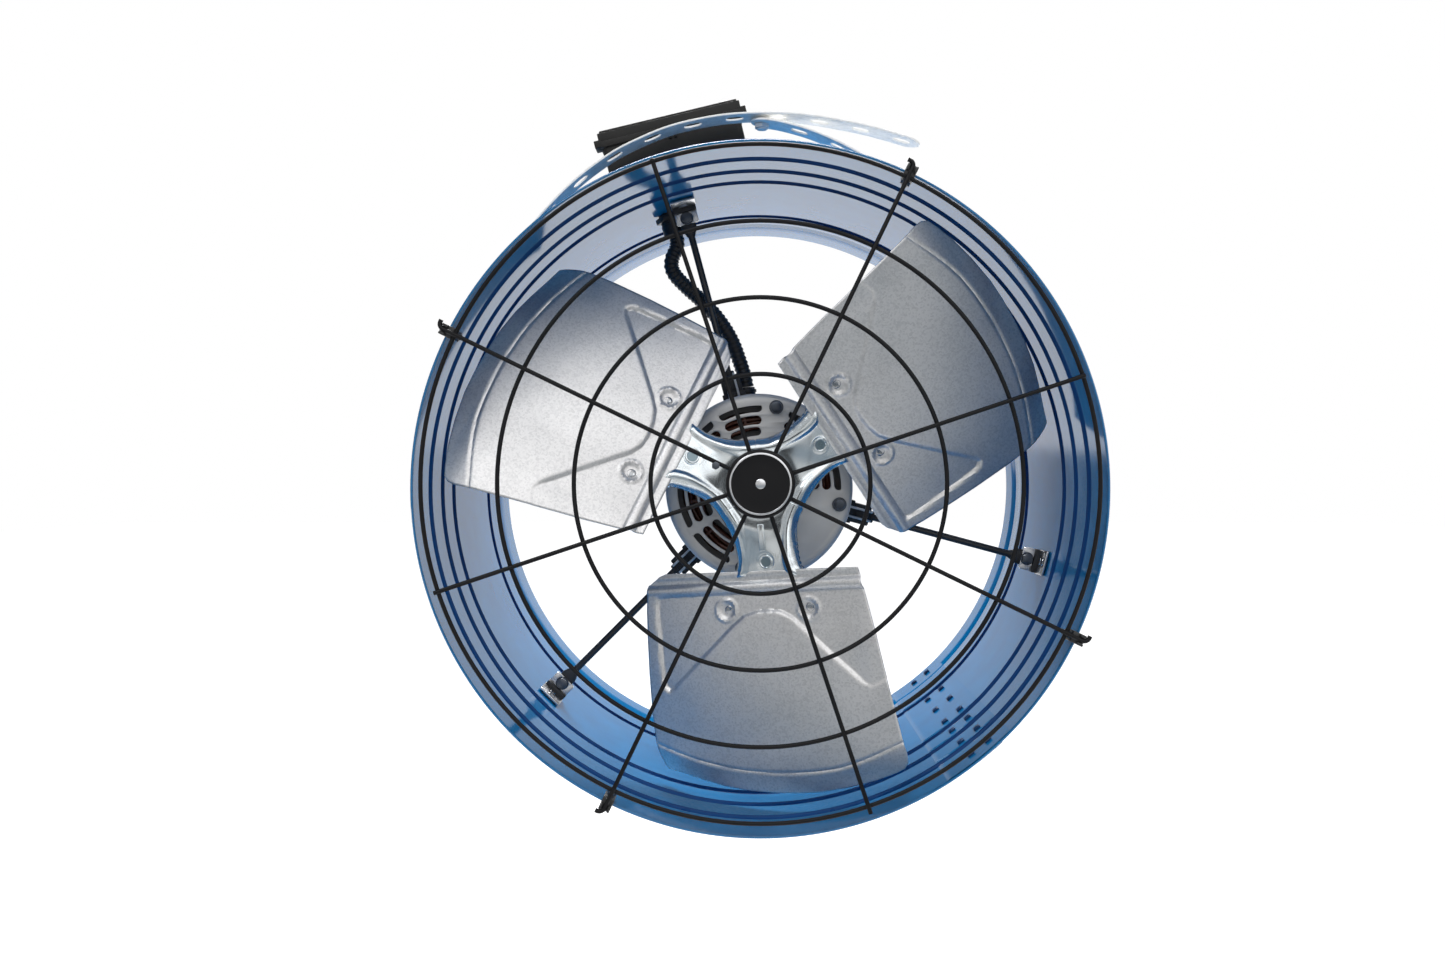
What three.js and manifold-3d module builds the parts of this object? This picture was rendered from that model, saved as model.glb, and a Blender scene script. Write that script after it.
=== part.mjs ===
// Inline duct fan: a rolled sheet drum with a three-blade rotor, an open motor on three struts,
// a wire guard in front and a wiring box on the outside.
// Millimetres. The drum axis is +Y, from the guarded front rim (y = 0) to the rear rim. +Z is up.
import * as THREE from 'three';
import { mergeVertices } from 'three/addons/utils/BufferGeometryUtils.js';
import Module from 'manifold-3d';

const wasm = await Module();
wasm.setup();

// ---- driving dimensions ----------------------------------------------------------------
const GAP = 0.3; // between neighbouring pieces

const DRUM_R = 190.5; // inside of the sheet
const DRUM_L = 280;
const SHEET = 1.0;
const HEM = 1.2; // folded front edge, extra thickness outwards
const HEM_W = 8;
const BEAD = 2.0; // height of a rolled bead, outwards
const BEAD_W = 8;
const BEADS = [40, 69.6, 98.7, 204.5]; // distances from the front rim
const LAP_FROM = -57.4; // the sheet's two ends overlap between these angles
const LAP_TO = -45.8;

const WIRE_R = 1.25;
const RING_R = DRUM_R - 5.2; // outer guard ring
const RING_PITCH = 41.8;
const RINGS = 4;
const RING_Y = -3;
const SPOKE_Y = -4.9;
const GUARD_LIFT = 2.7; // the guard sits this much above the drum axis
const LONG_SPOKES = [64.3, 154]; // each runs right across
const SHORT_SPOKES = [18.5, 108.5];
const HOOK_R = DRUM_R + 8.1; // where a long spoke is bent into its foot
const FOOT = 6;
const BADGE_R = 18.8;

const FAN_Y = 58; // where the blades' planes cross the axis
const PITCH = 23; // blade angle
const TIP_R = DRUM_R - 9.5; // the blades run this close to the drum
const BLADE_T = 1.0;
const ARM_ANGLES = [35.5, 155.4, 275];
const RIVET_U = 72; // out along the arm
const RIVET_V = 26;
const SPIDER_T = 2.0;
const DISH_R = 28.4;

const SHAFT_R = 4;
const HUB_R = 11;
const MOTOR_R = 58;
const MOTOR_Y = 88; // front face of the front cover
const COVER_L = 24;
const STACK_L = 32;
const COVER_T = 2.5;
const AIR_GAP = 0.5;
const BOLT_PCR = 50.5;
const BOLT_START = 78; // first through bolt

const STRUT_R = 2.2;
const STRUT_Y = 138;
const STRUT_START = 105;
const STRUT_BOLT_R = DRUM_R - 9.5; // distance of the strut bolt from the drum axis

const CONDUIT_R = 5;
const CONDUIT_Y = 150;
const FITTING_ANGLE = 97;
const GLAND_ANGLE = 108.2;

const BOX_ANGLE = 103.5;
const BOX_FLOOR = DRUM_R + SHEET + 2.5; // distance from the drum axis to the underside of the box
const BOX_TOP = BOX_FLOOR + 35;
const BOX_W = 84;
const BOX_FRONT = 62;
const BOX_L = 106;
const BOX_OFF = 1.6; // the box's middle, along the tangent
const BOX_WALL = 2.5;

const STRAP_R = DRUM_R + SHEET + 4.3;
const STRAP_T = 1.2;
const STRAP_W = 20;
const STRAP_Y = 36; // front edge
const SLOT_PITCH = 24.7;
const SLOT_L = 10.5;
const SLOT_W = 7;

// ---- materials -------------------------------------------------------------------------
const blueSteel = new THREE.MeshStandardMaterial({ color: 0x1d4f8c, roughness: 0.2, metalness: 0.3 });
const blackWire = new THREE.MeshStandardMaterial({ color: 0x141416, roughness: 0.35, metalness: 0.2 });
const galvanised = new THREE.MeshStandardMaterial({ color: 0xaab0b8, roughness: 0.4, metalness: 0.9 });
const zinc = new THREE.MeshStandardMaterial({ color: 0xcdd6d8, roughness: 0.25, metalness: 1.0 });
const steel = new THREE.MeshStandardMaterial({ color: 0x8d9094, roughness: 0.35, metalness: 1.0 });
const castGrey = new THREE.MeshStandardMaterial({ color: 0x77777a, roughness: 0.55, metalness: 0.6 });
const copper = new THREE.MeshStandardMaterial({ color: 0x7a3a1e, roughness: 0.4, metalness: 0.8 });
const darkSteel = new THREE.MeshStandardMaterial({ color: 0x3a3c40, roughness: 0.45, metalness: 0.6 });
const blackRubber = new THREE.MeshStandardMaterial({ color: 0x18181a, roughness: 0.8, metalness: 0 });
const greyPlastic = new THREE.MeshStandardMaterial({ color: 0x4a4846, roughness: 0.6, metalness: 0 });
const palePlastic = new THREE.MeshStandardMaterial({ color: 0xc9c7bd, roughness: 0.6, metalness: 0 });

// ---- shop floor ------------------------------------------------------------------------
const rad = (degrees) => (degrees * Math.PI) / 180;

function solid(geometry) {
  const bare = geometry.clone();
  bare.deleteAttribute('normal');
  bare.deleteAttribute('uv');
  const merged = mergeVertices(bare, 1e-4);
  const vertProperties = new Float32Array(merged.attributes.position.array);
  const triVerts = new Uint32Array(merged.index.array);
  return new wasm.Manifold(new wasm.Mesh({ numProp: 3, vertProperties, triVerts }));
}

function drawn(manifold) {
  const { vertProperties, triVerts } = manifold.getMesh();
  const geometry = new THREE.BufferGeometry();
  geometry.setAttribute('position', new THREE.BufferAttribute(new Float32Array(vertProperties), 3));
  geometry.setIndex(new THREE.BufferAttribute(new Uint32Array(triVerts), 1));
  geometry.computeVertexNormals();
  return geometry;
}

function piece(parent, name, shape, material, angle = 0) {
  const mesh = new THREE.Mesh(shape.isBufferGeometry ? shape : drawn(shape), material);
  mesh.name = name;
  mesh.rotation.y = -rad(angle);
  parent.add(mesh);
  return mesh;
}

// a turned solid about the drum axis, from [radius, y] corners of its section
function turned(section, segments = 32) {
  const points = section.map(([r, y]) => new THREE.Vector2(r, y));
  if (THREE.ShapeUtils.area(points) < 0) points.reverse();
  points.push(points[0].clone());
  return solid(new THREE.LatheGeometry(points, segments));
}

// rods along y, along the radius (x) and along the tangent (z)
function axialRod(r, y0, y1, x = 0, z = 0, sides = 16) {
  const rod = new THREE.CylinderGeometry(r, r, y1 - y0, sides);
  return solid(rod.translate(x, (y0 + y1) / 2, z));
}

function radialRod(r, x0, x1, y = 0, z = 0, sides = 12) {
  const rod = new THREE.CylinderGeometry(r, r, x1 - x0, sides).rotateZ(-Math.PI / 2);
  return solid(rod.translate((x0 + x1) / 2, y, z));
}

function tangentRod(r, z0, z1, x, y, sides = 12) {
  const rod = new THREE.CylinderGeometry(r, r, z1 - z0, sides).rotateX(Math.PI / 2);
  return solid(rod.translate(x, y, (z0 + z1) / 2));
}

// a block from its low to its high corner: x radial, y axial, z tangential
function block(x0, x1, y0, y1, z0, z1) {
  const box = new THREE.BoxGeometry(x1 - x0, y1 - y0, z1 - z0);
  return solid(box.translate((x0 + x1) / 2, (y0 + y1) / 2, (z0 + z1) / 2));
}

// a plate whose face is drawn in the x-z plane, from y0 back to y1
function plate(outline, y0, y1) {
  const flat = new THREE.ExtrudeGeometry(outline, { depth: y1 - y0, bevelEnabled: false, curveSegments: 1 });
  return solid(flat.rotateX(Math.PI / 2).translate(0, y1, 0));
}

function spun(manifold, angle) {
  return manifold.rotate([0, -angle, 0]);
}

function sector(r0, r1, from, to) {
  const outline = new THREE.Shape();
  outline.absarc(0, 0, r1, rad(from), rad(to), false);
  outline.absarc(0, 0, r0, rad(to), rad(from), true);
  outline.closePath();
  return outline;
}

const fan = new THREE.Group();
fan.name = 'inline_duct_fan';
const rotor = new THREE.Group();
rotor.name = 'rotor';
fan.add(rotor);

// ---- drum ------------------------------------------------------------------------------
// One rolled sheet with stiffening beads, a folded front edge and a lapped, clinched seam.
function beaded(radius, fromY, toY) {
  const line = [[radius, fromY]];
  for (const y of BEADS) {
    if (y - BEAD_W / 2 <= fromY || y + BEAD_W / 2 >= toY) continue;
    line.push([radius, y - BEAD_W / 2]);
    line.push([radius + BEAD, y]);
    line.push([radius, y + BEAD_W / 2]);
  }
  line.push([radius, toY]);
  return line;
}

const outerFace = beaded(DRUM_R + SHEET, HEM_W, DRUM_L).reverse();
const hem = [[DRUM_R + SHEET + HEM, HEM_W], [DRUM_R + SHEET + HEM, 0]];
let drum = turned([...beaded(DRUM_R, 0, DRUM_L), ...outerFace, ...hem], 52);
const lapEnds = [HEM_W + 1, DRUM_L - 1];
const lapFace = beaded(DRUM_R + 2 * SHEET, ...lapEnds).reverse();
const lapRing = turned([...beaded(DRUM_R + SHEET / 2, ...lapEnds), ...lapFace], 52);
const lapWedge = plate(sector(DRUM_R - 30, DRUM_R + 20, LAP_FROM, LAP_TO), -1, DRUM_L + 1);
drum = drum.add(lapRing.intersect(lapWedge));

// ---- guard rim clips -------------------------------------------------------------------
const CLIP_OUT = DRUM_R + 6;
const CLIP_IN = DRUM_R - 3.5;
const CLIP_SLOT_IN = DRUM_R - 0.7;
const CLIP_SLOT_OUT = DRUM_R + SHEET + HEM + GAP;
const CLIP_Y = RING_Y + WIRE_R + 0.4;
const CLIP_SCREW_Y = 4.4;
const CLIP_SCREW_R = 1.7;
const EAR_IN = DRUM_R + 1;
const EAR_FRONT = SPOKE_Y - WIRE_R - 0.6;
const EAR_SIDE = WIRE_R + 0.9;
const CLIP_SIDE = 4.5;

let clip = block(CLIP_IN, CLIP_OUT, CLIP_Y, 9, -CLIP_SIDE, CLIP_SIDE);
clip = clip.add(block(EAR_IN, CLIP_OUT, EAR_FRONT, CLIP_Y + 1, EAR_SIDE, CLIP_SIDE));
clip = clip.add(block(EAR_IN, CLIP_OUT, EAR_FRONT, CLIP_Y + 1, -CLIP_SIDE, -EAR_SIDE));
clip = clip.subtract(block(CLIP_SLOT_IN, CLIP_SLOT_OUT, -GAP, 10, -CLIP_SIDE - 1, CLIP_SIDE + 1));
clip = clip.subtract(radialRod(CLIP_SCREW_R + GAP, CLIP_IN - 1, CLIP_OUT + 1, CLIP_SCREW_Y));

let clipScrew = radialRod(CLIP_SCREW_R, CLIP_IN - 2.6, CLIP_OUT + 1, CLIP_SCREW_Y);
clipScrew = clipScrew.add(radialRod(3.2, CLIP_OUT + GAP, CLIP_OUT + 2.5, CLIP_SCREW_Y, 0, 6));
clipScrew = clipScrew.add(radialRod(3.2, CLIP_IN - 2.8, CLIP_IN - GAP, CLIP_SCREW_Y, 0, 6));

const spokeEnds = LONG_SPOKES.flatMap((angle) => [angle, angle + 180]);
spokeEnds.forEach((angle, i) => {
  const x = DRUM_R * Math.cos(rad(angle));
  const z = DRUM_R * Math.sin(rad(angle)) + GUARD_LIFT;
  const onRim = THREE.MathUtils.radToDeg(Math.atan2(z, x));
  const hole = radialRod(CLIP_SCREW_R + GAP, DRUM_R - 5, DRUM_R + 5, CLIP_SCREW_Y);
  drum = drum.subtract(spun(hole, onRim));
  piece(fan, `guard_clip_${i + 1}`, clip, blackWire, onRim);
  piece(fan, `guard_screw_${i + 1}`, clipScrew, darkSteel, onRim);
});

// ---- wire guard ------------------------------------------------------------------------
// Four rings welded to rods that run right across behind the badge. The long rods' ends
// pass between the ears of the rim clips and are bent up into feet.
function ring(radius, segments) {
  const torus = new THREE.TorusGeometry(radius, WIRE_R, 6, segments).rotateX(Math.PI / 2);
  return solid(torus.translate(0, RING_Y, 0));
}

let guard = ring(RING_R, 40);
for (let i = 1; i < RINGS; i += 1) {
  guard = guard.add(ring(RING_R - i * RING_PITCH, 40 - 7 * i));
}
for (const angle of SHORT_SPOKES) {
  guard = guard.add(spun(radialRod(WIRE_R, -RING_R - WIRE_R, RING_R + WIRE_R, SPOKE_Y, 0, 6), angle));
}
for (const angle of spokeEnds) {
  const lift = GUARD_LIFT * Math.sin(rad(angle));
  const drift = GUARD_LIFT * Math.cos(rad(angle));
  const reach = Math.sqrt(HOOK_R ** 2 - drift ** 2) - lift;
  const up = Math.sign(Math.cos(rad(angle)));
  const foot = tangentRod(WIRE_R, Math.min(0, up * FOOT) - 0.6, Math.max(0, up * FOOT) + 0.6, reach, SPOKE_Y, 6);
  guard = guard.add(spun(radialRod(WIRE_R, -2, reach, SPOKE_Y, 0, 6).add(foot), angle));
}
piece(fan, 'wire_guard', guard, blackWire).position.z = GUARD_LIFT;

const BADGE_Y = SPOKE_Y - WIRE_R - GAP;
const badge = turned(
  [[0, BADGE_Y], [BADGE_R, BADGE_Y], [BADGE_R, BADGE_Y - 2.6], [BADGE_R - 1.6, BADGE_Y - 3.6], [0, BADGE_Y - 3.6]],
  40,
);
piece(fan, 'guard_badge', badge, blackWire).position.z = GUARD_LIFT;

// ---- rotor -----------------------------------------------------------------------------
// Blades and arm pads are drawn flat, x out along the arm, then pitched about the arm.
function pitched(manifold) {
  return manifold.rotate([PITCH, 0, 0]).translate([0, FAN_Y, 0]);
}

const tipAt = (v) => Math.sqrt(TIP_R ** 2 - (v * Math.cos(rad(PITCH))) ** 2);
const BLADE_NEAR = 76; // half widths at the tip
const BLADE_FAR = 82;
const ROOT_U = 50;
const TIP_FLANGE = 12;
const FLANGE_BEND = 22;

const bladeOutline = new THREE.Shape();
bladeOutline.moveTo(ROOT_U, -65);
bladeOutline.lineTo(ROOT_U, 57);
bladeOutline.lineTo(tipAt(BLADE_NEAR) - 6, BLADE_NEAR);
for (let v = BLADE_NEAR - 3; v > -BLADE_FAR + 12; v -= 14) {
  bladeOutline.lineTo(tipAt(v), v);
}
bladeOutline.lineTo(tipAt(-BLADE_FAR) - 1, -BLADE_FAR + 4);
bladeOutline.lineTo(tipAt(-BLADE_FAR) - 12, -BLADE_FAR);
bladeOutline.lineTo(ROOT_U + 6, -BLADE_FAR + 2);

// the tip beyond the crease is bent away from the air stream
const sheetFlat = plate(bladeOutline, -BLADE_T / 2, BLADE_T / 2);
const CREASE = TIP_R - TIP_FLANGE;
const beyond = block(CREASE, TIP_R + 20, -5, 5, -120, 120);
const inside = sheetFlat.subtract(beyond);
const flange = sheetFlat.intersect(block(CREASE - 0.4, TIP_R + 20, -5, 5, -120, 120))
  .translate([-CREASE, 0, 0])
  .rotate([0, 0, FLANGE_BEND])
  .translate([CREASE, 0, 0]);
const rivetHoles = [-RIVET_V, RIVET_V].map((v) => axialRod(2.2 + GAP, -8, 8, RIVET_U, v, 12));
const blade = inside.add(flange).subtract(rivetHoles[0]).subtract(rivetHoles[1]);

const ARM_FRONT = BLADE_T / 2 + GAP;
const ARM_BACK = ARM_FRONT + SPIDER_T;
let arm = block(14, 60, ARM_FRONT, ARM_BACK, -18, 18);
arm = arm.add(block(55, 84, ARM_FRONT, ARM_BACK, -34, 34));
arm = arm.subtract(axialRod(3.2, -8, 8, 44, 0, 12));
arm = arm.subtract(rivetHoles[0]).subtract(rivetHoles[1]);

const DISH_Y = FAN_Y - 1;
let spider = turned(
  [
    [8, DISH_Y], [DISH_R, DISH_Y], [DISH_R, DISH_Y + 8],
    [DISH_R - SPIDER_T, DISH_Y + 8], [DISH_R - SPIDER_T, DISH_Y + SPIDER_T], [8, DISH_Y + SPIDER_T],
  ],
  36,
);
const hubRoom = axialRod(HUB_R + 2, DISH_Y + SPIDER_T, FAN_Y + 30, 0, 0, 24);
for (const angle of ARM_ANGLES) {
  spider = spider.add(spun(pitched(arm).subtract(hubRoom), angle));
}
piece(rotor, 'blade_spider', spider, zinc);

const rivet = turned(
  [
    [0, -BLADE_T / 2 - GAP - 1.9], [2.8, -BLADE_T / 2 - GAP - 1.6], [4, -BLADE_T / 2 - GAP],
    [2.2, -BLADE_T / 2 - GAP], [2.2, ARM_BACK + GAP], [3.8, ARM_BACK + GAP],
    [3.8, ARM_BACK + GAP + 1.2], [0, ARM_BACK + GAP + 1.2],
  ],
  12,
);
ARM_ANGLES.forEach((angle, i) => {
  piece(rotor, `blade_${i + 1}`, pitched(blade), galvanised, angle);
  piece(rotor, `blade_rivet_${2 * i + 1}`, pitched(rivet.translate([RIVET_U, 0, -RIVET_V])), zinc, angle);
  piece(rotor, `blade_rivet_${2 * i + 2}`, pitched(rivet.translate([RIVET_U, 0, RIVET_V])), zinc, angle);
});

// the hub is staked through the spider and gripped on the shaft by its set screw
const HUB_BACK = MOTOR_Y - 8;
const SET_Y = HUB_BACK - 8;
let hub = turned(
  [
    [SHAFT_R + GAP, DISH_Y - 1.8], [10, DISH_Y - 1.8], [10, DISH_Y - GAP], [7.7, DISH_Y - GAP],
    [7.7, DISH_Y + SPIDER_T + GAP], [HUB_R, DISH_Y + SPIDER_T + GAP], [HUB_R, HUB_BACK], [SHAFT_R + GAP, HUB_BACK],
  ],
  24,
);
hub = hub.subtract(radialRod(2.5 + GAP, 1, HUB_R + 5, SET_Y));
piece(rotor, 'spider_hub', hub, steel);
piece(rotor, 'hub_set_screw', radialRod(2.5, SHAFT_R + GAP, HUB_R + 1.5, SET_Y), darkSteel);

// ---- motor -----------------------------------------------------------------------------
const STACK_Y = MOTOR_Y + COVER_L + GAP;
const STACK_END = STACK_Y + STACK_L;
const MOTOR_END = STACK_END + GAP + COVER_L;
const STATOR_BORE = 32;
const BEARING_R = 11;
const BEARING_W = 10;
const BOSS_L = BEARING_W + 2;

piece(rotor, 'motor_shaft', axialRod(SHAFT_R, DISH_Y - 8, MOTOR_END + 2, 0, 0, 24), steel);
piece(
  rotor,
  'rotor_core',
  turned([
    [SHAFT_R + GAP, STACK_Y], [STATOR_BORE - AIR_GAP, STACK_Y],
    [STATOR_BORE - AIR_GAP, STACK_END], [SHAFT_R + GAP, STACK_END],
  ], 40),
  steel,
);

// vent slots in three rows; the bolts' places and one quarter stay closed
const SLOT_ROWS = [49, 41.5, 34.5];
const SLOT_H = 4.3;
function vented(cover) {
  let open = cover;
  for (const quarter of [0, 1, 3]) {
    const start = BOLT_START + 90 * quarter + 10;
    for (const r of SLOT_ROWS) {
      for (const from of [start, start + 38]) {
        open = open.subtract(plate(sector(r - SLOT_H / 2, r + SLOT_H / 2, from, from + 32), -1, COVER_T + 1));
      }
    }
  }
  return open;
}

function bolted(body, y0, y1) {
  let open = body;
  for (let k = 0; k < 4; k += 1) {
    open = open.subtract(spun(axialRod(2 + GAP, y0, y1, BOLT_PCR, 0, 8), BOLT_START + 90 * k));
  }
  return open;
}

let cover = turned(
  [
    [6, 0], [MOTOR_R - 2, 0], [MOTOR_R, 2], [MOTOR_R, COVER_L], [MOTOR_R - COVER_T, COVER_L],
    [MOTOR_R - COVER_T, COVER_T], [BEARING_R + GAP + 2.5, COVER_T], [BEARING_R + GAP + 2.5, COVER_T + BOSS_L],
    [BEARING_R + GAP, COVER_T + BOSS_L], [BEARING_R + GAP, COVER_T], [6, COVER_T],
  ],
  48,
);
cover = bolted(vented(cover), -1, COVER_T + 1);
const rearCover = cover.mirror([0, 1, 0]).translate([0, MOTOR_END, 0]);
piece(fan, 'motor_front_cover', cover.translate([0, MOTOR_Y, 0]), castGrey);
piece(fan, 'motor_rear_cover', rearCover, castGrey);

const stator = turned(
  [[STATOR_BORE, STACK_Y], [MOTOR_R, STACK_Y], [MOTOR_R, STACK_END], [STATOR_BORE, STACK_END]],
  48,
);
piece(fan, 'stator_core', bolted(stator, STACK_Y - 1, STACK_END + 1), steel);

function endTurns(y0, y1) {
  return turned(
    [[STATOR_BORE + 3, y0], [STATOR_BORE + 6, y1], [45, y1], [47.5, y1 + (y0 - y1) * 0.4], [47.5, y0]],
    32,
  );
}
piece(fan, 'winding_front', endTurns(STACK_Y - GAP, STACK_Y - 15), copper);
piece(fan, 'winding_rear', endTurns(STACK_END + GAP, STACK_END + 15), copper);

function bearing(y0) {
  return turned(
    [[SHAFT_R + GAP, y0], [BEARING_R, y0], [BEARING_R, y0 + BEARING_W], [SHAFT_R + GAP, y0 + BEARING_W]],
    24,
  );
}
piece(fan, 'bearing_front', bearing(MOTOR_Y + COVER_T + GAP), steel);
piece(fan, 'bearing_rear', bearing(MOTOR_END - COVER_T - GAP - BEARING_W), steel);

let throughBolt = axialRod(2, MOTOR_Y - 2, MOTOR_END + 2, BOLT_PCR, 0, 8);
throughBolt = throughBolt.add(axialRod(3.6, MOTOR_Y - 3.1, MOTOR_Y - GAP, BOLT_PCR, 0, 6));
throughBolt = throughBolt.add(axialRod(3.6, MOTOR_END + GAP, MOTOR_END + 3.1, BOLT_PCR, 0, 6));
for (let k = 0; k < 4; k += 1) {
  piece(fan, `through_bolt_${k + 1}`, throughBolt, steel, BOLT_START + 90 * k);
}

// ---- motor struts ----------------------------------------------------------------------
// Each strut is pushed into a rubber block on two studs at the motor and bolted to an angle
// bracket that is spot-welded to the drum.
const BLOCK_IN = MOTOR_R + 4;
const BLOCK_OUT = MOTOR_R + 17;
const PAD_IN = STRUT_BOLT_R - 9;
const LEG_Y = STRUT_Y - STRUT_R - 0.4;
const FOOT_OUT = DRUM_R - 0.9;

let strutBlock = block(BLOCK_IN, BLOCK_OUT, STRUT_Y - 5, STRUT_Y + 5, -6.5, 6.5);
strutBlock = strutBlock.subtract(radialRod(STRUT_R + GAP, BLOCK_IN + 4, BLOCK_OUT + 1, STRUT_Y));
for (const side of [-1, 1]) {
  strutBlock = strutBlock.add(radialRod(1.2, MOTOR_R + GAP, BLOCK_IN + 1, STRUT_Y, side * 3, 8));
}

let strut = radialRod(STRUT_R, BLOCK_IN + 4 + GAP, PAD_IN + 3, STRUT_Y, 0, 8);
strut = strut.add(block(PAD_IN, STRUT_BOLT_R + 6, LEG_Y + GAP, LEG_Y + GAP + 2.5, -5, 5));
strut = strut.subtract(axialRod(2 + GAP, LEG_Y - 1, LEG_Y + 6, STRUT_BOLT_R, 0, 8));

let bracket = block(STRUT_BOLT_R - 7, FOOT_OUT, LEG_Y - 1.5, LEG_Y, -8, 8);
bracket = bracket.add(block(FOOT_OUT - 1.5, FOOT_OUT, LEG_Y - 20, LEG_Y, -8, 8));
bracket = bracket.subtract(axialRod(2 + GAP, LEG_Y - 4, LEG_Y + 1, STRUT_BOLT_R, 0, 8));

const NUT_Y = LEG_Y + 2.5 + 2 * GAP;
let strutBolt = axialRod(2, LEG_Y - 2, NUT_Y + 3, STRUT_BOLT_R, 0, 8);
strutBolt = strutBolt.add(axialRod(4.2, LEG_Y - 4.6, LEG_Y - 1.5 - GAP, STRUT_BOLT_R, 0, 6));
strutBolt = strutBolt.add(axialRod(3.8, NUT_Y, NUT_Y + 2.8, STRUT_BOLT_R, 0, 6));

for (let k = 0; k < 3; k += 1) {
  const angle = STRUT_START + 120 * k;
  piece(fan, `strut_block_${k + 1}`, strutBlock, blackRubber, angle);
  piece(fan, `strut_${k + 1}`, strut, darkSteel, angle);
  piece(fan, `strut_bracket_${k + 1}`, bracket, steel, angle);
  piece(fan, `bracket_bolt_${k + 1}`, strutBolt, darkSteel, angle);
}

// ---- conduit ---------------------------------------------------------------------------
// Flexible conduit from the rear of the motor, behind the upper strut, to the gland.
const FITTING_OUT = MOTOR_R + 8;
const GLAND_IN = DRUM_R - 15;
const NIPPLE_R = 7.5;
const polar = (r, angle) => new THREE.Vector3(r * Math.cos(rad(angle)), CONDUIT_Y, r * Math.sin(rad(angle)));

const fitting = radialRod(6, MOTOR_R + GAP, FITTING_OUT, CONDUIT_Y);
piece(fan, 'conduit_motor_fitting', fitting, blackRubber, FITTING_ANGLE);

// each point of the route: its share of the way from the fitting out to the gland, and its angle
const onTheWay = (share, angle) => polar(FITTING_OUT + share * (GLAND_IN - FITTING_OUT), angle);
const route = new THREE.CatmullRomCurve3([
  polar(FITTING_OUT + 2 * GAP, FITTING_ANGLE),
  onTheWay(0.064, 97.1),
  onTheWay(0.155, 98.4),
  onTheWay(0.301, 100.2),
  onTheWay(0.447, 103.5),
  onTheWay(0.566, 106.7),
  onTheWay(0.685, 110),
  onTheWay(0.799, 112),
  onTheWay(0.877, 111),
  onTheWay(0.936, GLAND_ANGLE + 0.1),
  polar(GLAND_IN - 2 * GAP, GLAND_ANGLE),
]);
const bore = new THREE.Shape().absarc(0, 0, CONDUIT_R, 0, 2 * Math.PI, false);
const conduit = new THREE.ExtrudeGeometry(bore, {
  steps: 26,
  curveSegments: 4,
  bevelEnabled: false,
  extrudePath: route,
});
piece(fan, 'conduit', solid(conduit), blackRubber);

let gland = radialRod(NIPPLE_R, GLAND_IN, BOX_FLOOR + 9, CONDUIT_Y, 0, 16);
gland = gland.add(radialRod(10, DRUM_R - 5, DRUM_R - 1.4, CONDUIT_Y, 0, 6));
piece(fan, 'conduit_gland', gland, blackRubber, GLAND_ANGLE);
drum = drum.subtract(spun(radialRod(NIPPLE_R + GAP, DRUM_R - 5, DRUM_R + 8, CONDUIT_Y, 0, 16), GLAND_ANGLE));
piece(fan, 'drum_shell', drum, blueSteel);

// ---- wiring box ------------------------------------------------------------------------
const BOX_RIM = BOX_TOP - 8;
const BOX_BACK = BOX_FRONT + BOX_L;
const Z0 = BOX_OFF - BOX_W / 2;
const Z1 = BOX_OFF + BOX_W / 2;
const SCREW_Z = BOX_W / 2 - 8;
const screwPlaces = [[BOX_FRONT + 8, BOX_OFF - SCREW_Z], [BOX_BACK - 8, BOX_OFF + SCREW_Z]];

let base = block(BOX_FLOOR, BOX_RIM, BOX_FRONT, BOX_BACK, Z0, Z1);
base = base.subtract(block(
  BOX_FLOOR + BOX_WALL, BOX_RIM + 5, BOX_FRONT + BOX_WALL, BOX_BACK - BOX_WALL, Z0 + BOX_WALL, Z1 - BOX_WALL,
));
let lid = block(BOX_RIM + GAP, BOX_TOP - 3, BOX_FRONT - 1, BOX_BACK + 1, Z0 - 1.5, Z1 + 1.5);
lid = lid.add(block(BOX_TOP - 4, BOX_TOP, BOX_FRONT + 2, BOX_BACK - 2, Z0 + 2, Z1 - 2));
lid = lid.add(block(BOX_RIM + GAP, BOX_RIM + 3, BOX_FRONT - 1, BOX_FRONT + 12, Z0 - 3, Z1 + 3));
for (const [y, z] of screwPlaces) {
  base = base.add(block(BOX_FLOOR + 1, BOX_RIM - 1, y - 5.6, y + 5.6, z - 5.6, z + 5.6));
  base = base.subtract(radialRod(1.8 + GAP, BOX_FLOOR + 10, BOX_RIM + 5, y, z, 8));
  lid = lid.subtract(radialRod(1.8 + GAP, BOX_RIM - 5, BOX_TOP + 5, y, z, 8));
}
base = base.subtract(
  radialRod(NIPPLE_R + 1, BOX_FLOOR - 5, BOX_FLOOR + 6, CONDUIT_Y, 0, 16)
    .rotate([0, BOX_ANGLE - GLAND_ANGLE, 0]),
);
piece(fan, 'box_base', base, greyPlastic, BOX_ANGLE);
piece(fan, 'box_lid', lid, greyPlastic, BOX_ANGLE);
screwPlaces.forEach(([y, z], i) => {
  let screw = radialRod(1.8, BOX_FLOOR + 12, BOX_TOP + 1, y, z, 8);
  screw = screw.add(radialRod(3.4, BOX_TOP + GAP, BOX_TOP + 2, y, z, 10));
  piece(fan, `lid_screw_${i + 1}`, screw, steel, BOX_ANGLE);
});

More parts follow.
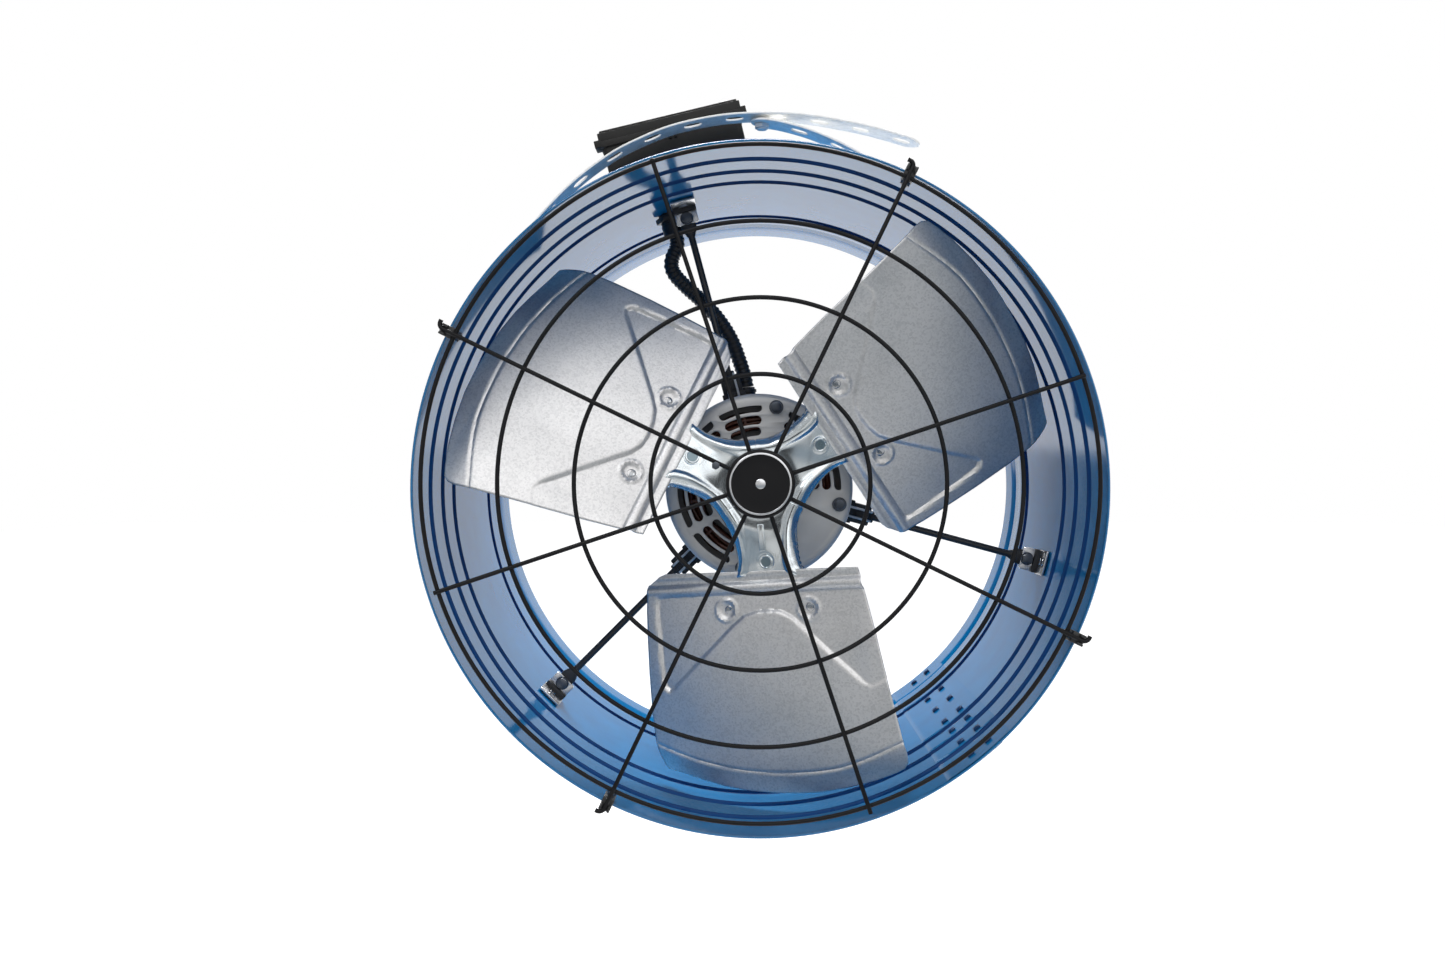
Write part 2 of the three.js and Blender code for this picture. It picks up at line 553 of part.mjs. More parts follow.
const BOX_IN = BOX_FLOOR + BOX_WALL + GAP;
let terminals = block(BOX_IN, BOX_IN + 9, BOX_FRONT + 14, BOX_FRONT + 32, -18, 22);
for (let i = 0; i < 3; i += 1) {
  const z = -10 + 12 * i;
  terminals = terminals.add(block(BOX_IN + 8, BOX_IN + 15, BOX_FRONT + 18, BOX_FRONT + 28, z - 4, z + 4));
}
piece(fan, 'terminal_block', terminals, palePlastic, BOX_ANGLE);
piece(fan, 'run_capacitor', tangentRod(11, -26, 28, BOX_IN + 11.2, BOX_FRONT + 52, 20), blackWire, BOX_ANGLE);

// ---- hanging strap ---------------------------------------------------------------------
// Slotted band right round the drum. One end runs on over the top to a free tip, the other
// is bolted up under it.
const OVER_TOP = [[65, 24.9], [76, 21.4], [88.4, 20.6], [101, 19.6], [109, 17.4], [116.5, 14], [128, 6.6]];
const UP_END = [[78.5, 9.9], [86.5, 15.6], [91.5, 18]];
const bandPoint = ([angle, rise]) => {
  const r = STRAP_R + rise;
  return new THREE.Vector2(r * Math.cos(rad(angle)), r * Math.sin(rad(angle)));
};
const onDrum = [];
for (let angle = 140; angle <= 424; angle += 4) onDrum.push([angle, 0]);
const bandLine = new THREE.SplineCurve([...OVER_TOP, ...onDrum, ...UP_END].map(bandPoint));
const bandCorners = 100;
const leftEdge = [];
const rightEdge = [];
for (let i = 0; i <= bandCorners; i += 1) {
  const at = bandLine.getPointAt(i / bandCorners);
  const along = bandLine.getTangentAt(i / bandCorners);
  const across = new THREE.Vector2(-along.y, along.x).multiplyScalar(STRAP_T / 2);
  leftEdge.push(at.clone().add(across));
  rightEdge.unshift(at.clone().sub(across));
}
let strap = plate(new THREE.Shape([...leftEdge, ...rightEdge]), STRAP_Y, STRAP_Y + STRAP_W);

function acrossBand(manifold, share) {
  const at = bandLine.getPointAt(share);
  const along = bandLine.getTangentAt(share);
  const turn = THREE.MathUtils.radToDeg(Math.atan2(along.y, along.x));
  return manifold.rotate([0, -turn, 0]).translate([at.x, STRAP_Y + STRAP_W / 2, at.y]);
}

const bandLength = bandLine.getLength();
const FREE_RUN = 250; // the band stands clear of the drum over this length
const BOLT_AT = 93.4 - 3; // along the band from the free tip to the band bolt
const endHole = bandLength - 7;
const hanger = new THREE.Vector2(bandLine.getPointAt(endHole / bandLength).x, 0);
const slotCut = block(-SLOT_L / 2, SLOT_L / 2, -SLOT_W / 2, SLOT_W / 2, -3, 3);
for (let s = 11; s < bandLength - 14; s += SLOT_PITCH) {
  const free = s < FREE_RUN || s > bandLength - FREE_RUN / 2;
  if (free && Math.abs(s - BOLT_AT) > SLOT_PITCH / 2) strap = strap.subtract(acrossBand(slotCut, s / bandLength));
}
const holeX = hanger.x;
const boltHole = tangentRod(3 + GAP, STRAP_R, STRAP_R + 30, holeX, STRAP_Y + STRAP_W / 2, 12);
strap = strap.subtract(boltHole);
piece(fan, 'hanging_strap', strap, galvanised);

const endZ = bandLine.getPointAt(endHole / bandLength).y;
const overZ = STRAP_R + 20.6;
let bandBolt = tangentRod(3, endZ - 3, overZ + 3, holeX, STRAP_Y + STRAP_W / 2, 12);
bandBolt = bandBolt.add(tangentRod(5.5, endZ - 4.6, endZ - 1.4, holeX, STRAP_Y + STRAP_W / 2, 6));
bandBolt = bandBolt.add(tangentRod(5.5, overZ + 1.4, overZ + 4.4, holeX, STRAP_Y + STRAP_W / 2, 6));
piece(fan, 'strap_bolt', bandBolt, steel);

export default fan;
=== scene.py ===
# An inline duct fan, guard forward, in a pale studio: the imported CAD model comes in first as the
# fixed frame, and every piece below is made in place round it and rides on its body.
from math import atan2, cos, degrees, exp, hypot, pi, radians, sin, sqrt, tan
import bpy
from mathutils import Matrix, Vector


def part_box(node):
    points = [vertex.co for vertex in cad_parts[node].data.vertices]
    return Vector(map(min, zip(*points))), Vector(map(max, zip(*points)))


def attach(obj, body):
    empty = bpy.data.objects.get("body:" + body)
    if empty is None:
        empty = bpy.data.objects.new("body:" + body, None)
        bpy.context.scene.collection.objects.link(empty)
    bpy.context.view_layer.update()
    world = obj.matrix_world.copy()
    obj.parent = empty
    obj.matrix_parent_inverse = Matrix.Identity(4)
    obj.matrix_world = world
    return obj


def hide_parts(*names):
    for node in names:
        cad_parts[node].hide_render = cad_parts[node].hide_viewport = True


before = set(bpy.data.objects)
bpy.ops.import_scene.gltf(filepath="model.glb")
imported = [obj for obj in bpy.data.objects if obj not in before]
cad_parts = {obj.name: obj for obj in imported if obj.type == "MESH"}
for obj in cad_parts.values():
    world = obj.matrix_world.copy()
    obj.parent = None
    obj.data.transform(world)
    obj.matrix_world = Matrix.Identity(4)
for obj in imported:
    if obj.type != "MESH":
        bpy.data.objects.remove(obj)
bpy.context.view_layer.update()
mm = 0.001


# ---- the studio ------------------------------------------------------------------------
# A pale floor well under the fan, a white far wall of light low behind it, and soft boxes
# above and in front. The camera looks down the duct from 0.7 m in front.
def deselect():
    if bpy.context.object and bpy.context.object.mode != "OBJECT":
        bpy.ops.object.mode_set(mode="OBJECT")
    bpy.ops.object.select_all(action="DESELECT")


def node(tree, kind, inputs=(), **settings):
    made = tree.nodes.new(kind)
    for key, value in settings.items():
        setattr(made, key, value)
    for socket, value in dict(inputs).items():
        if isinstance(value, bpy.types.NodeSocket):
            tree.links.new(value, made.inputs[socket])
        else:
            made.inputs[socket].default_value = value
    return made


def mixed(tree, share, one, other):
    """A colour that goes from one to the other as share goes from 0 to 1."""
    return node(tree, "ShaderNodeMix", {0: share, 6: one, 7: other}, data_type="RGBA").outputs[2]


deselect()
bpy.ops.object.camera_add(location=(-5.97 * mm, -702 * mm, 7.0 * mm), rotation=(pi / 2, 0, 0))
camera = bpy.context.object
camera.name = "studio_camera"
camera.data.sensor_width = 36
camera.data.lens = 31.96
camera.data.shift_x = -0.01869
camera.data.shift_y = -0.00415
camera.data.clip_start = 0.01
bpy.context.scene.camera = camera
bpy.context.scene.view_settings.view_transform = "Standard"

bpy.ops.mesh.primitive_plane_add(size=14, location=(0, 6.72, -0.52))
floor = bpy.context.object
floor.name = "studio_floor"
floor_paint = bpy.data.materials.new("floor_paint")
floor_paint.use_nodes = True
lino = floor_paint.node_tree.nodes["Principled BSDF"]
lino.inputs["Base Color"].default_value = (0.35, 0.35, 0.35, 1)
lino.inputs["Roughness"].default_value = 0.8
lino.inputs["Emission Color"].default_value = (1, 1, 1, 1)
lino.inputs["Emission Strength"].default_value = 0.93
floor.data.materials.append(floor_paint)

world = bpy.data.worlds.new("studio_air")
bpy.context.scene.world = world
world.use_nodes = True
air = world.node_tree
air.nodes.clear()
where = node(air, "ShaderNodeTexCoord").outputs["Generated"]
split = node(air, "ShaderNodeSeparateXYZ", {0: where})
height = node(air, "ShaderNodeMapRange", {0: split.outputs["Z"], 1: -1.0, 2: 1.0}).outputs[0]


def sky_band(stops):
    """A strength by height, from straight down at 0 to straight up at 1, in quarters of full light."""
    band = node(air, "ShaderNodeValToRGB", {0: height})
    ramp = band.color_ramp
    ramp.elements[0].position, ramp.elements[0].color = stops[0][0], (*stops[0][1], 1)
    ramp.elements[1].position, ramp.elements[1].color = stops[-1][0], (*stops[-1][1], 1)
    for position, colour in stops[1:-1]:
        ramp.elements.new(position).color = (*colour, 1)
    return band.outputs[0]


low_light = sky_band((
    (0.0, (0.245, 0.245, 0.248)), (0.50, (0.245, 0.248, 0.25)), (0.56, (0.225, 0.23, 0.235)),
    (0.59, (0.17, 0.175, 0.18)),
    (0.62, (0.02, 0.022, 0.025)), (0.8, (0.01, 0.01, 0.012)), (1.0, (0.1, 0.1, 0.1)),
))
# the white wall stops short on the left and is brightest to the right
across = node(air, "ShaderNodeMapRange", {0: split.outputs["X"], 1: -1.0, 2: 1.0}).outputs[0]
wings = node(air, "ShaderNodeValToRGB", {0: across})
ends = wings.color_ramp
ends.elements[0].position, ends.elements[0].color = 0.378, (0.05, 0.055, 0.06, 1)
ends.elements[1].position, ends.elements[1].color = 0.66, (1, 1, 1, 1)
for position, level in ((0.392, 0.74), (0.60, 0.78)):
    ends.elements.new(position).color = (level, level, level, 1)
behind = node(
    air, "ShaderNodeMix", {0: 1.0, 6: low_light, 7: wings.outputs[0]}, data_type="RGBA", blend_type="MULTIPLY",
).outputs[2]
before = sky_band((
    (0.0, (0.20, 0.20, 0.20)), (0.13, (0.19, 0.188, 0.186)), (0.20, (0.13, 0.135, 0.14)),
    (0.28, (0.065, 0.078, 0.09)), (0.38, (0.07, 0.08, 0.09)),
    (0.46, (0.15, 0.15, 0.15)), (0.56, (0.20, 0.196, 0.192)), (0.70, (0.12, 0.122, 0.126)),
    (1.0, (0.10, 0.103, 0.108)),
))
panel_way = Vector((0.28, -0.68, 0.68)).normalized()
toward = node(air, "ShaderNodeVectorMath", {0: where, 1: tuple(panel_way)}, operation="DOT_PRODUCT")
panel = node(
    air, "ShaderNodeMapRange", {0: toward.outputs["Value"], 1: 0.76, 2: 0.92}, interpolation_type="SMOOTHSTEP",
)
lit = mixed(air, panel.outputs[0], before, (0.40, 0.40, 0.405, 1))
side = node(
    air, "ShaderNodeMapRange", {0: split.outputs["Y"], 1: -0.25, 2: 0.3}, interpolation_type="SMOOTHSTEP",
)
both = mixed(air, side.outputs[0], lit, behind)
studio_grey = node(air, "ShaderNodeBackground", {0: both, 1: 4.0})
plain_white = node(air, "ShaderNodeBackground", {0: (1, 1, 1, 1), 1: 1.0})
seen = node(air, "ShaderNodeLightPath").outputs["Is Camera Ray"]
sky = node(air, "ShaderNodeMixShader", {0: seen, 1: studio_grey.outputs[0], 2: plain_white.outputs[0]})
node(air, "ShaderNodeOutputWorld", {0: sky.outputs[0]})


def soft_box(name, location, aim, size, power, colour=(1, 1, 1)):
    deselect()
    bpy.ops.object.light_add(type="AREA", location=location)
    lamp = bpy.context.object
    lamp.name = name
    lamp.data.shape = "RECTANGLE"
    lamp.data.size, lamp.data.size_y = size
    lamp.data.energy = power
    lamp.data.color = colour
    lamp.rotation_euler = (Vector(aim) - Vector(location)).to_track_quat("-Z", "Y").to_euler()
    return lamp


soft_box("back_box", (0.1, 1.7, 1.9), (0, 0.15, -0.1), (1.8, 1.0), 130)
soft_box("key_box", (-1.1, -1.2, 1.7), (0, 0.1, 0), (1.0, 0.8), 12)


# ---- drum ------------------------------------------------------------------------------
# Thin steel sheet rolled to a drum, with stiffening beads rolled outwards, a folded front
# edge and a lapped seam clinched along its length. Coated in a deep blue gloss.
DRUM_R = 190.5
DRUM_L = 280.0
SHEET = 1.0
BEADS = (40, 69.6, 98.7, 204.5)
BEAD_HALF, BEAD_RISE = 4.8, 2.7


def activate(piece):
    deselect()
    piece.select_set(True)
    bpy.context.view_layer.objects.active = piece


def apply_all(piece):
    activate(piece)
    for step in list(piece.modifiers):
        bpy.ops.object.modifier_apply(modifier=step.name)


def clean(piece, smooth=35):
    activate(piece)
    bpy.ops.object.mode_set(mode="EDIT")
    bpy.ops.mesh.select_all(action="SELECT")
    bpy.ops.mesh.remove_doubles(threshold=0.000005)
    bpy.ops.mesh.normals_make_consistent(inside=False)
    bpy.ops.object.mode_set(mode="OBJECT")
    bpy.ops.object.shade_smooth_by_angle(angle=radians(smooth))
    return piece


def joined(name, parts):
    deselect()
    for part in parts:
        part.select_set(True)
    bpy.context.view_layer.objects.active = parts[0]
    if len(parts) > 1:
        bpy.ops.object.join()
    parts[0].name = parts[0].data.name = name
    return parts[0]


def copied(piece, name):
    twin = piece.copy()
    twin.data = piece.data.copy()
    twin.name = twin.data.name = name
    bpy.context.collection.objects.link(twin)
    return twin


def turned(name, section, corners=96, closed=False, smooth=35):
    """A ring drawn up and sized at each (radius, height) of its section, standing along +Z."""
    deselect()
    radius, height = section[0]
    bpy.ops.mesh.primitive_circle_add(vertices=corners, radius=radius * mm, location=(0, 0, height * mm))
    bpy.ops.object.transform_apply(location=True, rotation=True, scale=True)
    made = bpy.context.object
    made.name = made.data.name = name
    bpy.ops.object.mode_set(mode="EDIT")
    bpy.ops.mesh.select_mode(type="EDGE")
    bpy.ops.mesh.select_all(action="SELECT")
    if closed:
        bpy.ops.mesh.edge_face_add()
        bpy.ops.mesh.select_all(action="SELECT")
    for next_radius, next_height in section[1:]:
        rise = (0, 0, (next_height - height) * mm)
        if closed:
            bpy.ops.mesh.extrude_region_move(TRANSFORM_OT_translate={"value": rise})
        else:
            bpy.ops.mesh.extrude_edges_move(TRANSFORM_OT_translate={"value": rise})
        if next_radius != radius:
            k = next_radius / radius
            bpy.ops.transform.resize(value=(k, k, 1), center_override=(0, 0, next_height * mm))
        radius, height = next_radius, next_height
    bpy.ops.object.mode_set(mode="OBJECT")
    return clean(made, smooth)


def along(piece, start, direction):
    """A piece made standing on the origin is set at start and points in that direction."""
    turn = Vector(direction).to_track_quat("Z", "Y").to_matrix().to_4x4()
    piece.data.transform(Matrix.Translation(Vector(start) * mm) @ turn)
    return piece


def moved(piece, x, y, z):
    piece.data.transform(Matrix.Translation((x * mm, y * mm, z * mm)))
    return piece


def laid(piece, x, y, z, turn=pi / 2):
    """A piece made rising up Z is laid over to face the front and set at a point."""
    piece.data.transform(Matrix.Translation((x * mm, y * mm, z * mm)) @ Matrix.Rotation(turn, 4, "X"))
    return piece


def on_axis(piece):
    piece.data.transform(Matrix.Rotation(-pi / 2, 4, "X"))
    return piece


def placed(piece, angle):
    """A piece made with X outwards and Z tangential is carried round to that angle."""
    piece.data.transform(Matrix.Rotation(-radians(angle), 4, "Y"))
    return piece


def shaped_sheet(name, across, lengthwise, place, smooth=35):
    """A grid whose points are each moved to place(share across, share along)."""
    deselect()
    bpy.ops.mesh.primitive_grid_add(x_subdivisions=across, y_subdivisions=lengthwise, size=1)
    made = bpy.context.object
    made.name = made.data.name = name
    for point in made.data.vertices:
        point.co = Vector(place(point.co.x + 0.5, point.co.y + 0.5)) * mm
    return clean(made, smooth)


def group_of(name, ins, outs):
    made = bpy.data.node_groups.new(name, "ShaderNodeTree")
    for label, kind in ins:
        made.interface.new_socket(label, in_out="INPUT", socket_type=kind)
    for label, kind in outs:
        made.interface.new_socket(label, in_out="OUTPUT", socket_type=kind)
    return made, node(made, "NodeGroupInput"), node(made, "NodeGroupOutput")


# fine grain: the slight unevenness of a coating or a casting, as a bump height and a tone
fine_grain, given, kept = group_of(
    "fine_grain", [("Vector", "NodeSocketVector"), ("Scale", "NodeSocketFloat")],
    [("Height", "NodeSocketFloat"), ("Tone", "NodeSocketFloat")],
)
speck = node(
    fine_grain, "ShaderNodeTexNoise",
    {"Vector": given.outputs["Vector"], "Scale": given.outputs["Scale"], "Detail": 4.0, "Roughness": 0.6},
)
patch = node(
    fine_grain, "ShaderNodeTexNoise",
    {"Vector": given.outputs["Vector"], "Scale": 38.0, "Detail": 3.0, "Roughness": 0.5},
)
fine_grain.links.new(speck.outputs[0], kept.inputs["Height"])
fine_grain.links.new(patch.outputs[0], kept.inputs["Tone"])

# edge wear: a broken mask along the sharp corners
edge_wear, given, kept = group_of(
    "edge_wear", [("Vector", "NodeSocketVector"), ("Amount", "NodeSocketFloat")], [("Mask", "NodeSocketFloat")]
)
corner = node(
    edge_wear, "ShaderNodeMapRange",
    {0: node(edge_wear, "ShaderNodeNewGeometry").outputs["Pointiness"], 1: 0.53, 2: 0.62},
)
broken = node(
    edge_wear, "ShaderNodeTexNoise", {"Vector": given.outputs["Vector"], "Scale": 420.0, "Detail": 3.0},
)
patchy = node(edge_wear, "ShaderNodeMath", {0: corner.outputs[0], 1: broken.outputs[0]}, operation="MULTIPLY")
measured = node(
    edge_wear, "ShaderNodeMath", {0: patchy.outputs[0], 1: given.outputs["Amount"]}, operation="MULTIPLY",
    use_clamp=True,
)
edge_wear.links.new(measured.outputs[0], kept.inputs["Mask"])

# settled dust: lies on what faces up, thicker in patches
settled_dust, given, kept = group_of(
    "settled_dust", [("Vector", "NodeSocketVector"), ("Amount", "NodeSocketFloat")],
    [("Mask", "NodeSocketFloat")]
)
facing = node(
    settled_dust, "ShaderNodeSeparateXYZ", {0: node(settled_dust, "ShaderNodeNewGeometry").outputs["Normal"]},
)
upward = node(settled_dust, "ShaderNodeMapRange", {0: facing.outputs["Z"], 1: 0.35, 2: 1.0})
drift = node(
    settled_dust, "ShaderNodeTexNoise", {"Vector": given.outputs["Vector"], "Scale": 60.0, "Detail": 5.0},
)
lying = node(settled_dust, "ShaderNodeMath", {0: upward.outputs[0], 1: drift.outputs[0]}, operation="MULTIPLY")
thick = node(
    settled_dust, "ShaderNodeMath", {0: lying.outputs[0], 1: given.outputs["Amount"]}, operation="MULTIPLY",
    use_clamp=True,
)
settled_dust.links.new(thick.outputs[0], kept.inputs["Mask"])

# spangle: the crystal flakes of hot-dip zinc, each with its own shade
spangle, given, kept = group_of(
    "spangle", [("Vector", "NodeSocketVector"), ("Scale", "NodeSocketFloat")],
    [("Shade", "NodeSocketFloat"), ("Height", "NodeSocketFloat")],
)
warp = node(spangle, "ShaderNodeTexNoise", {"Vector": given.outputs["Vector"], "Scale": 240.0, "Detail": 2.0})
push = node(
    spangle, "ShaderNodeVectorMath", {0: warp.outputs["Color"], 1: (0.0012, 0.0012, 0.0012)},
    operation="MULTIPLY",
)
pushed = node(
    spangle, "ShaderNodeVectorMath", {0: given.outputs["Vector"], 1: push.outputs[0]}, operation="ADD",
)
flakes = node(spangle, "ShaderNodeTexVoronoi", {"Vector": pushed.outputs[0], "Scale": given.outputs["Scale"]})
shade = node(spangle, "ShaderNodeSeparateColor", {0: flakes.outputs["Color"]})
spangle.links.new(shade.outputs[0], kept.inputs["Shade"])
spangle.links.new(shade.outputs[1], kept.inputs["Height"])


def finish(
    name, base, second, roughness, metallic=0.0, coat=0.0, grain=1500.0, bump=0.1, wear=0.0,
    bare=(0.5, 0.5, 0.52), dust=0.0, flakes=0.0, flake_bump=0.0, gloss=0.5,
):
    """A coating or metal: two close tones, roughness that drifts between them, worn corners and dust."""
    made = bpy.data.materials.new(name)
    made.use_nodes = True
    tree = made.node_tree
    shader = tree.nodes["Principled BSDF"]
    here = node(tree, "ShaderNodeTexCoord").outputs["Object"]
    fine = node(tree, "ShaderNodeGroup", {"Vector": here, "Scale": grain}, node_tree=fine_grain)
    drift = node(tree, "ShaderNodeMapRange", {0: fine.outputs["Tone"], 1: 0.3, 2: 0.7})
    share = drift.outputs[0]
    if flakes:
        cells = node(tree, "ShaderNodeGroup", {"Vector": here, "Scale": flakes}, node_tree=spangle)
        share = node(
            tree, "ShaderNodeMath", {0: share, 1: cells.outputs["Shade"]}, operation="MULTIPLY",
        ).outputs[0]
        share = node(
            tree, "ShaderNodeMath", {0: share, 1: cells.outputs["Shade"]}, operation="ADD", use_clamp=True,
        ).outputs[0]
    colour = mixed(tree, share, (*base, 1), (*second, 1))
    if wear:
        worn = node(tree, "ShaderNodeGroup", {"Vector": here, "Amount": wear}, node_tree=edge_wear)
        colour = mixed(tree, worn.outputs[0], colour, (*bare, 1))
    if dust:
        film = node(tree, "ShaderNodeGroup", {"Vector": here, "Amount": dust}, node_tree=settled_dust)
        colour = mixed(tree, film.outputs[0], colour, (0.42, 0.41, 0.39, 1))
    tree.links.new(colour, shader.inputs["Base Color"])
    polish = node(
        tree, "ShaderNodeMapRange",
        {
            0: fine.outputs["Tone"], 1: 0.25, 2: 0.75, 3: max(0.02, roughness * 0.85),
            4: min(1.0, roughness * 1.2),
        },
    )
    tree.links.new(polish.outputs[0], shader.inputs["Roughness"])
    shader.inputs["Metallic"].default_value = metallic
    shader.inputs["Coat Weight"].default_value = coat
    shader.inputs["Coat Roughness"].default_value = 0.08
    shader.inputs["Specular IOR Level"].default_value = gloss
    raised = node(
        tree, "ShaderNodeBump", {"Height": fine.outputs["Height"], "Strength": bump, "Distance": 0.0002},
    )
    if flakes and flake_bump:
        raised = node(
            tree, "ShaderNodeBump",
            {
                "Height": cells.outputs["Height"], "Strength": flake_bump, "Distance": 0.0003,
                "Normal": raised.outputs[0],
            },
        )
    tree.links.new(raised.outputs[0], shader.inputs["Normal"])
    return made


def stands_for(piece, body, paint, slot_name, *nodes):
    piece.data.materials.clear()
    piece.data.materials.append(paint)
    if nodes:
        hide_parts(*nodes)
    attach(piece, body)
    return piece


drum_blue = finish(
    "drum_blue", (0.001, 0.130, 0.33), (0.002, 0.160, 0.39), 0.10, gloss=0.5, grain=700, bump=0.02, wear=0.3,
    bare=(0.30, 0.42, 0.55),
)


def bead_rise(y):
    rise = 0.0
    for centre in BEADS:
        away = abs(y - centre) / BEAD_HALF
        if away < 1:
            rise += BEAD_RISE * sqrt(1 - away * away)
    away = abs(y - 245) / 1.6
    if away < 1:
        rise += 0.35 * sqrt(1 - away * away)
    return rise


stations = [0.5, 2.0, 6.0, 12, 20, 28, 85, 120, 150, 180, 225, 260, 243.4, 244, 245, 246, 246.6]
for centre in BEADS:
    stations += [
        centre + BEAD_HALF * sin(radians(step)) for step in (
            -90, -78, -64, -48, -30, -10, 10, 30, 48, 64, 78, 90,
        )
    ]
stations.sort()
inside = [(DRUM_R + bead_rise(y), y) for y in stations]
outside = [(DRUM_R + SHEET + bead_rise(y), y) for y in reversed(stations) if y > 9]
folded_edge = [
    (DRUM_R + SHEET, 8.6), (DRUM_R + 2.1, 8.2), (DRUM_R + 2.1, 4.0), (DRUM_R + 1.7, 2.0), (DRUM_R + 1.1, 0.5),
    (DRUM_R + 0.9, 0.08), (DRUM_R + 0.6, 0.0), (DRUM_R + 0.2, 0.1),
]
shell = inside + [(DRUM_R, DRUM_L), (DRUM_R + SHEET, DRUM_L)] + outside + folded_edge + inside[:1]
drum = on_axis(turned("drum", shell, 256, smooth=28))
stands_for(drum, "housing", drum_blue, "drum_coating", "drum_shell")

# the inner faces of the beads get a darker, duller blue, painted shade, so each reads as a dark line from the
# front
bead_navy = finish(
    "bead_navy", (0.0008, 0.045, 0.17), (0.001, 0.055, 0.21), 0.30, gloss=0.15, grain=700, bump=0.02,
)
drum.data.materials.append(bead_navy)
for facet in drum.data.polygons:
    x, y, z = facet.center / mm
    inward = facet.normal.x * x + facet.normal.z * z < 0
    if inward and DRUM_R + 0.25 < hypot(x, z) and any(abs(y - centre) < BEAD_HALF for centre in BEADS):
        facet.material_index = 1


def seam_leaf(name, edge, fade, radius, step):
    """The step where one end of the sheet lies on the other, easing out to nothing at fade."""
    def place(share, length):
        angle = radians(edge + (fade - edge) * share)
        y = 2.0 + (DRUM_L - 2.6) * length
        lift = step * (1 - share) ** 0.5 if share > 0 else -0.05 * step
        r = radius + bead_rise(y - 1.2 * (1 - share)) + lift
        return (r * cos(angle), y, r * sin(angle))
    leaf = stands_for(shaped_sheet(name, 24, 420, place, 28), "housing", drum_blue, "drum_coating")
    leaf.data.materials.append(bead_navy)
    # on the inner leaf the bead faces take the same painted shade
    for facet in leaf.data.polygons:
        if step < 0 and any(abs(facet.center.y / mm - centre - 0.6) < 4.6 for centre in BEADS):
            facet.material_index = 1
    return leaf


seam_leaf("seam_inner_leaf", -57.4, -44, DRUM_R, -0.4)
seam_leaf("seam_outer_leaf", -45.8, -60, DRUM_R + SHEET, 0.9)


# ---- seam clinches ---------------------------------------------------------------------
# Two columns of small punched clinches that lock the lap, driven from outside so each shows
# as a little raised box inside. One is modelled and the rest are copies of it.
def softened(piece, round_off, segments):
    """Rounds every corner of a piece by round_off, where it is not 0."""
    if round_off:
        bpy.ops.object.mode_set(mode="EDIT")
        bpy.ops.mesh.select_all(action="SELECT")
        bpy.ops.mesh.bevel(offset=round_off * mm, segments=segments)
        bpy.ops.object.mode_set(mode="OBJECT")
    bpy.ops.object.shade_smooth_by_angle(angle=radians(40))
    return piece


def block(name, low, high, round_off=0.3, segments=2):
    deselect()
    middle = [(a + b) / 2 * mm for a, b in zip(low, high)]
    bpy.ops.mesh.primitive_cube_add(size=1, location=middle, scale=[(b - a) * mm for a, b in zip(low, high)])
    bpy.ops.object.transform_apply(location=True, rotation=True, scale=True)
    made = bpy.context.object
    made.name = made.data.name = name
    return softened(made, round_off, segments)


clinch = joined("seam_clinch", [
    block("clinch_box", (DRUM_R - 1.5, -2.6, -2.1), (DRUM_R + 1.6, 2.6, 2.3), 0.3),
    block("clinch_tongue", (DRUM_R - 1.8, -1.5, -1.2), (DRUM_R + 1.9, 1.5, 1.3), 0.2, 1),
])
rows = []
for angle in (-47.9, -51.6):
    for y in (17, 51, 84, 113, 153, 191.5, 265):
        rows.append(placed(moved(copied(clinch, "clinch_mark"), 0, y, 0), angle))
bpy.data.objects.remove(clinch)
# the clinches take a darker blue than the drum: painted shade for the dark of each punched recess
clinch_blue = finish(
    "clinch_blue", (0.001, 0.03, 0.10), (0.002, 0.045, 0.14), 0.4, grain=1300, bump=0.1, gloss=0.2,
)
stands_for(joined("seam_clinches", rows), "housing", clinch_blue, "drum_coating")


# ---- wire guard ------------------------------------------------------------------------
# Four rings of round wire welded to four spokes: two long ones with bent feet that run out
# to the clips, and two short ones. Dipped in black, so each crossing carries a small fillet.
WIRE_R = 1.25
RINGS = (185.3, 143.5, 101.7, 59.9)
RING_Y, SPOKE_Y, LIFT = -3.0, -4.9, 2.7
LONG_SPOKES = (64.3, 244.3, 154, 334)
SHORT_SPOKES = (18.5, 108.5, 198.5, 288.5)


def wire(name, points, radius, sides=3, smooth=True):
    """Round wire along a line of points, with closed ends."""
    line = bpy.data.curves.new(name, "CURVE")
    line.dimensions = "3D"
    line.bevel_depth = radius * mm
    line.bevel_resolution = sides
    line.use_fill_caps = True
    run = line.splines.new("POLY")
    run.points.add(len(points) - 1)
    for spot, point in zip(run.points, points):
        spot.co = (*(Vector(point) * mm), 1)
    made = bpy.data.objects.new(name, line)
    bpy.context.collection.objects.link(made)
    activate(made)
    bpy.ops.object.convert(target="MESH")
    return clean(bpy.context.object, 45)


def out(radius, angle, y):
    return (radius * cos(radians(angle)), y, radius * sin(radians(angle)))


black_dip = finish(
    "black_dip", (0.004, 0.004, 0.005), (0.008, 0.008, 0.009), 0.40, grain=900, bump=0.12, gloss=0.2,
)
guard_parts = []
for radius in RINGS:
    deselect()
    bpy.ops.mesh.primitive_torus_add(
        major_radius=radius * mm, minor_radius=WIRE_R * mm, major_segments=176, minor_segments=12,
        location=(0, RING_Y * mm, LIFT * mm), rotation=(pi / 2, 0, 0),
    )
    bpy.ops.object.transform_apply(location=True, rotation=True, scale=True)
    guard_parts.append(bpy.context.object)


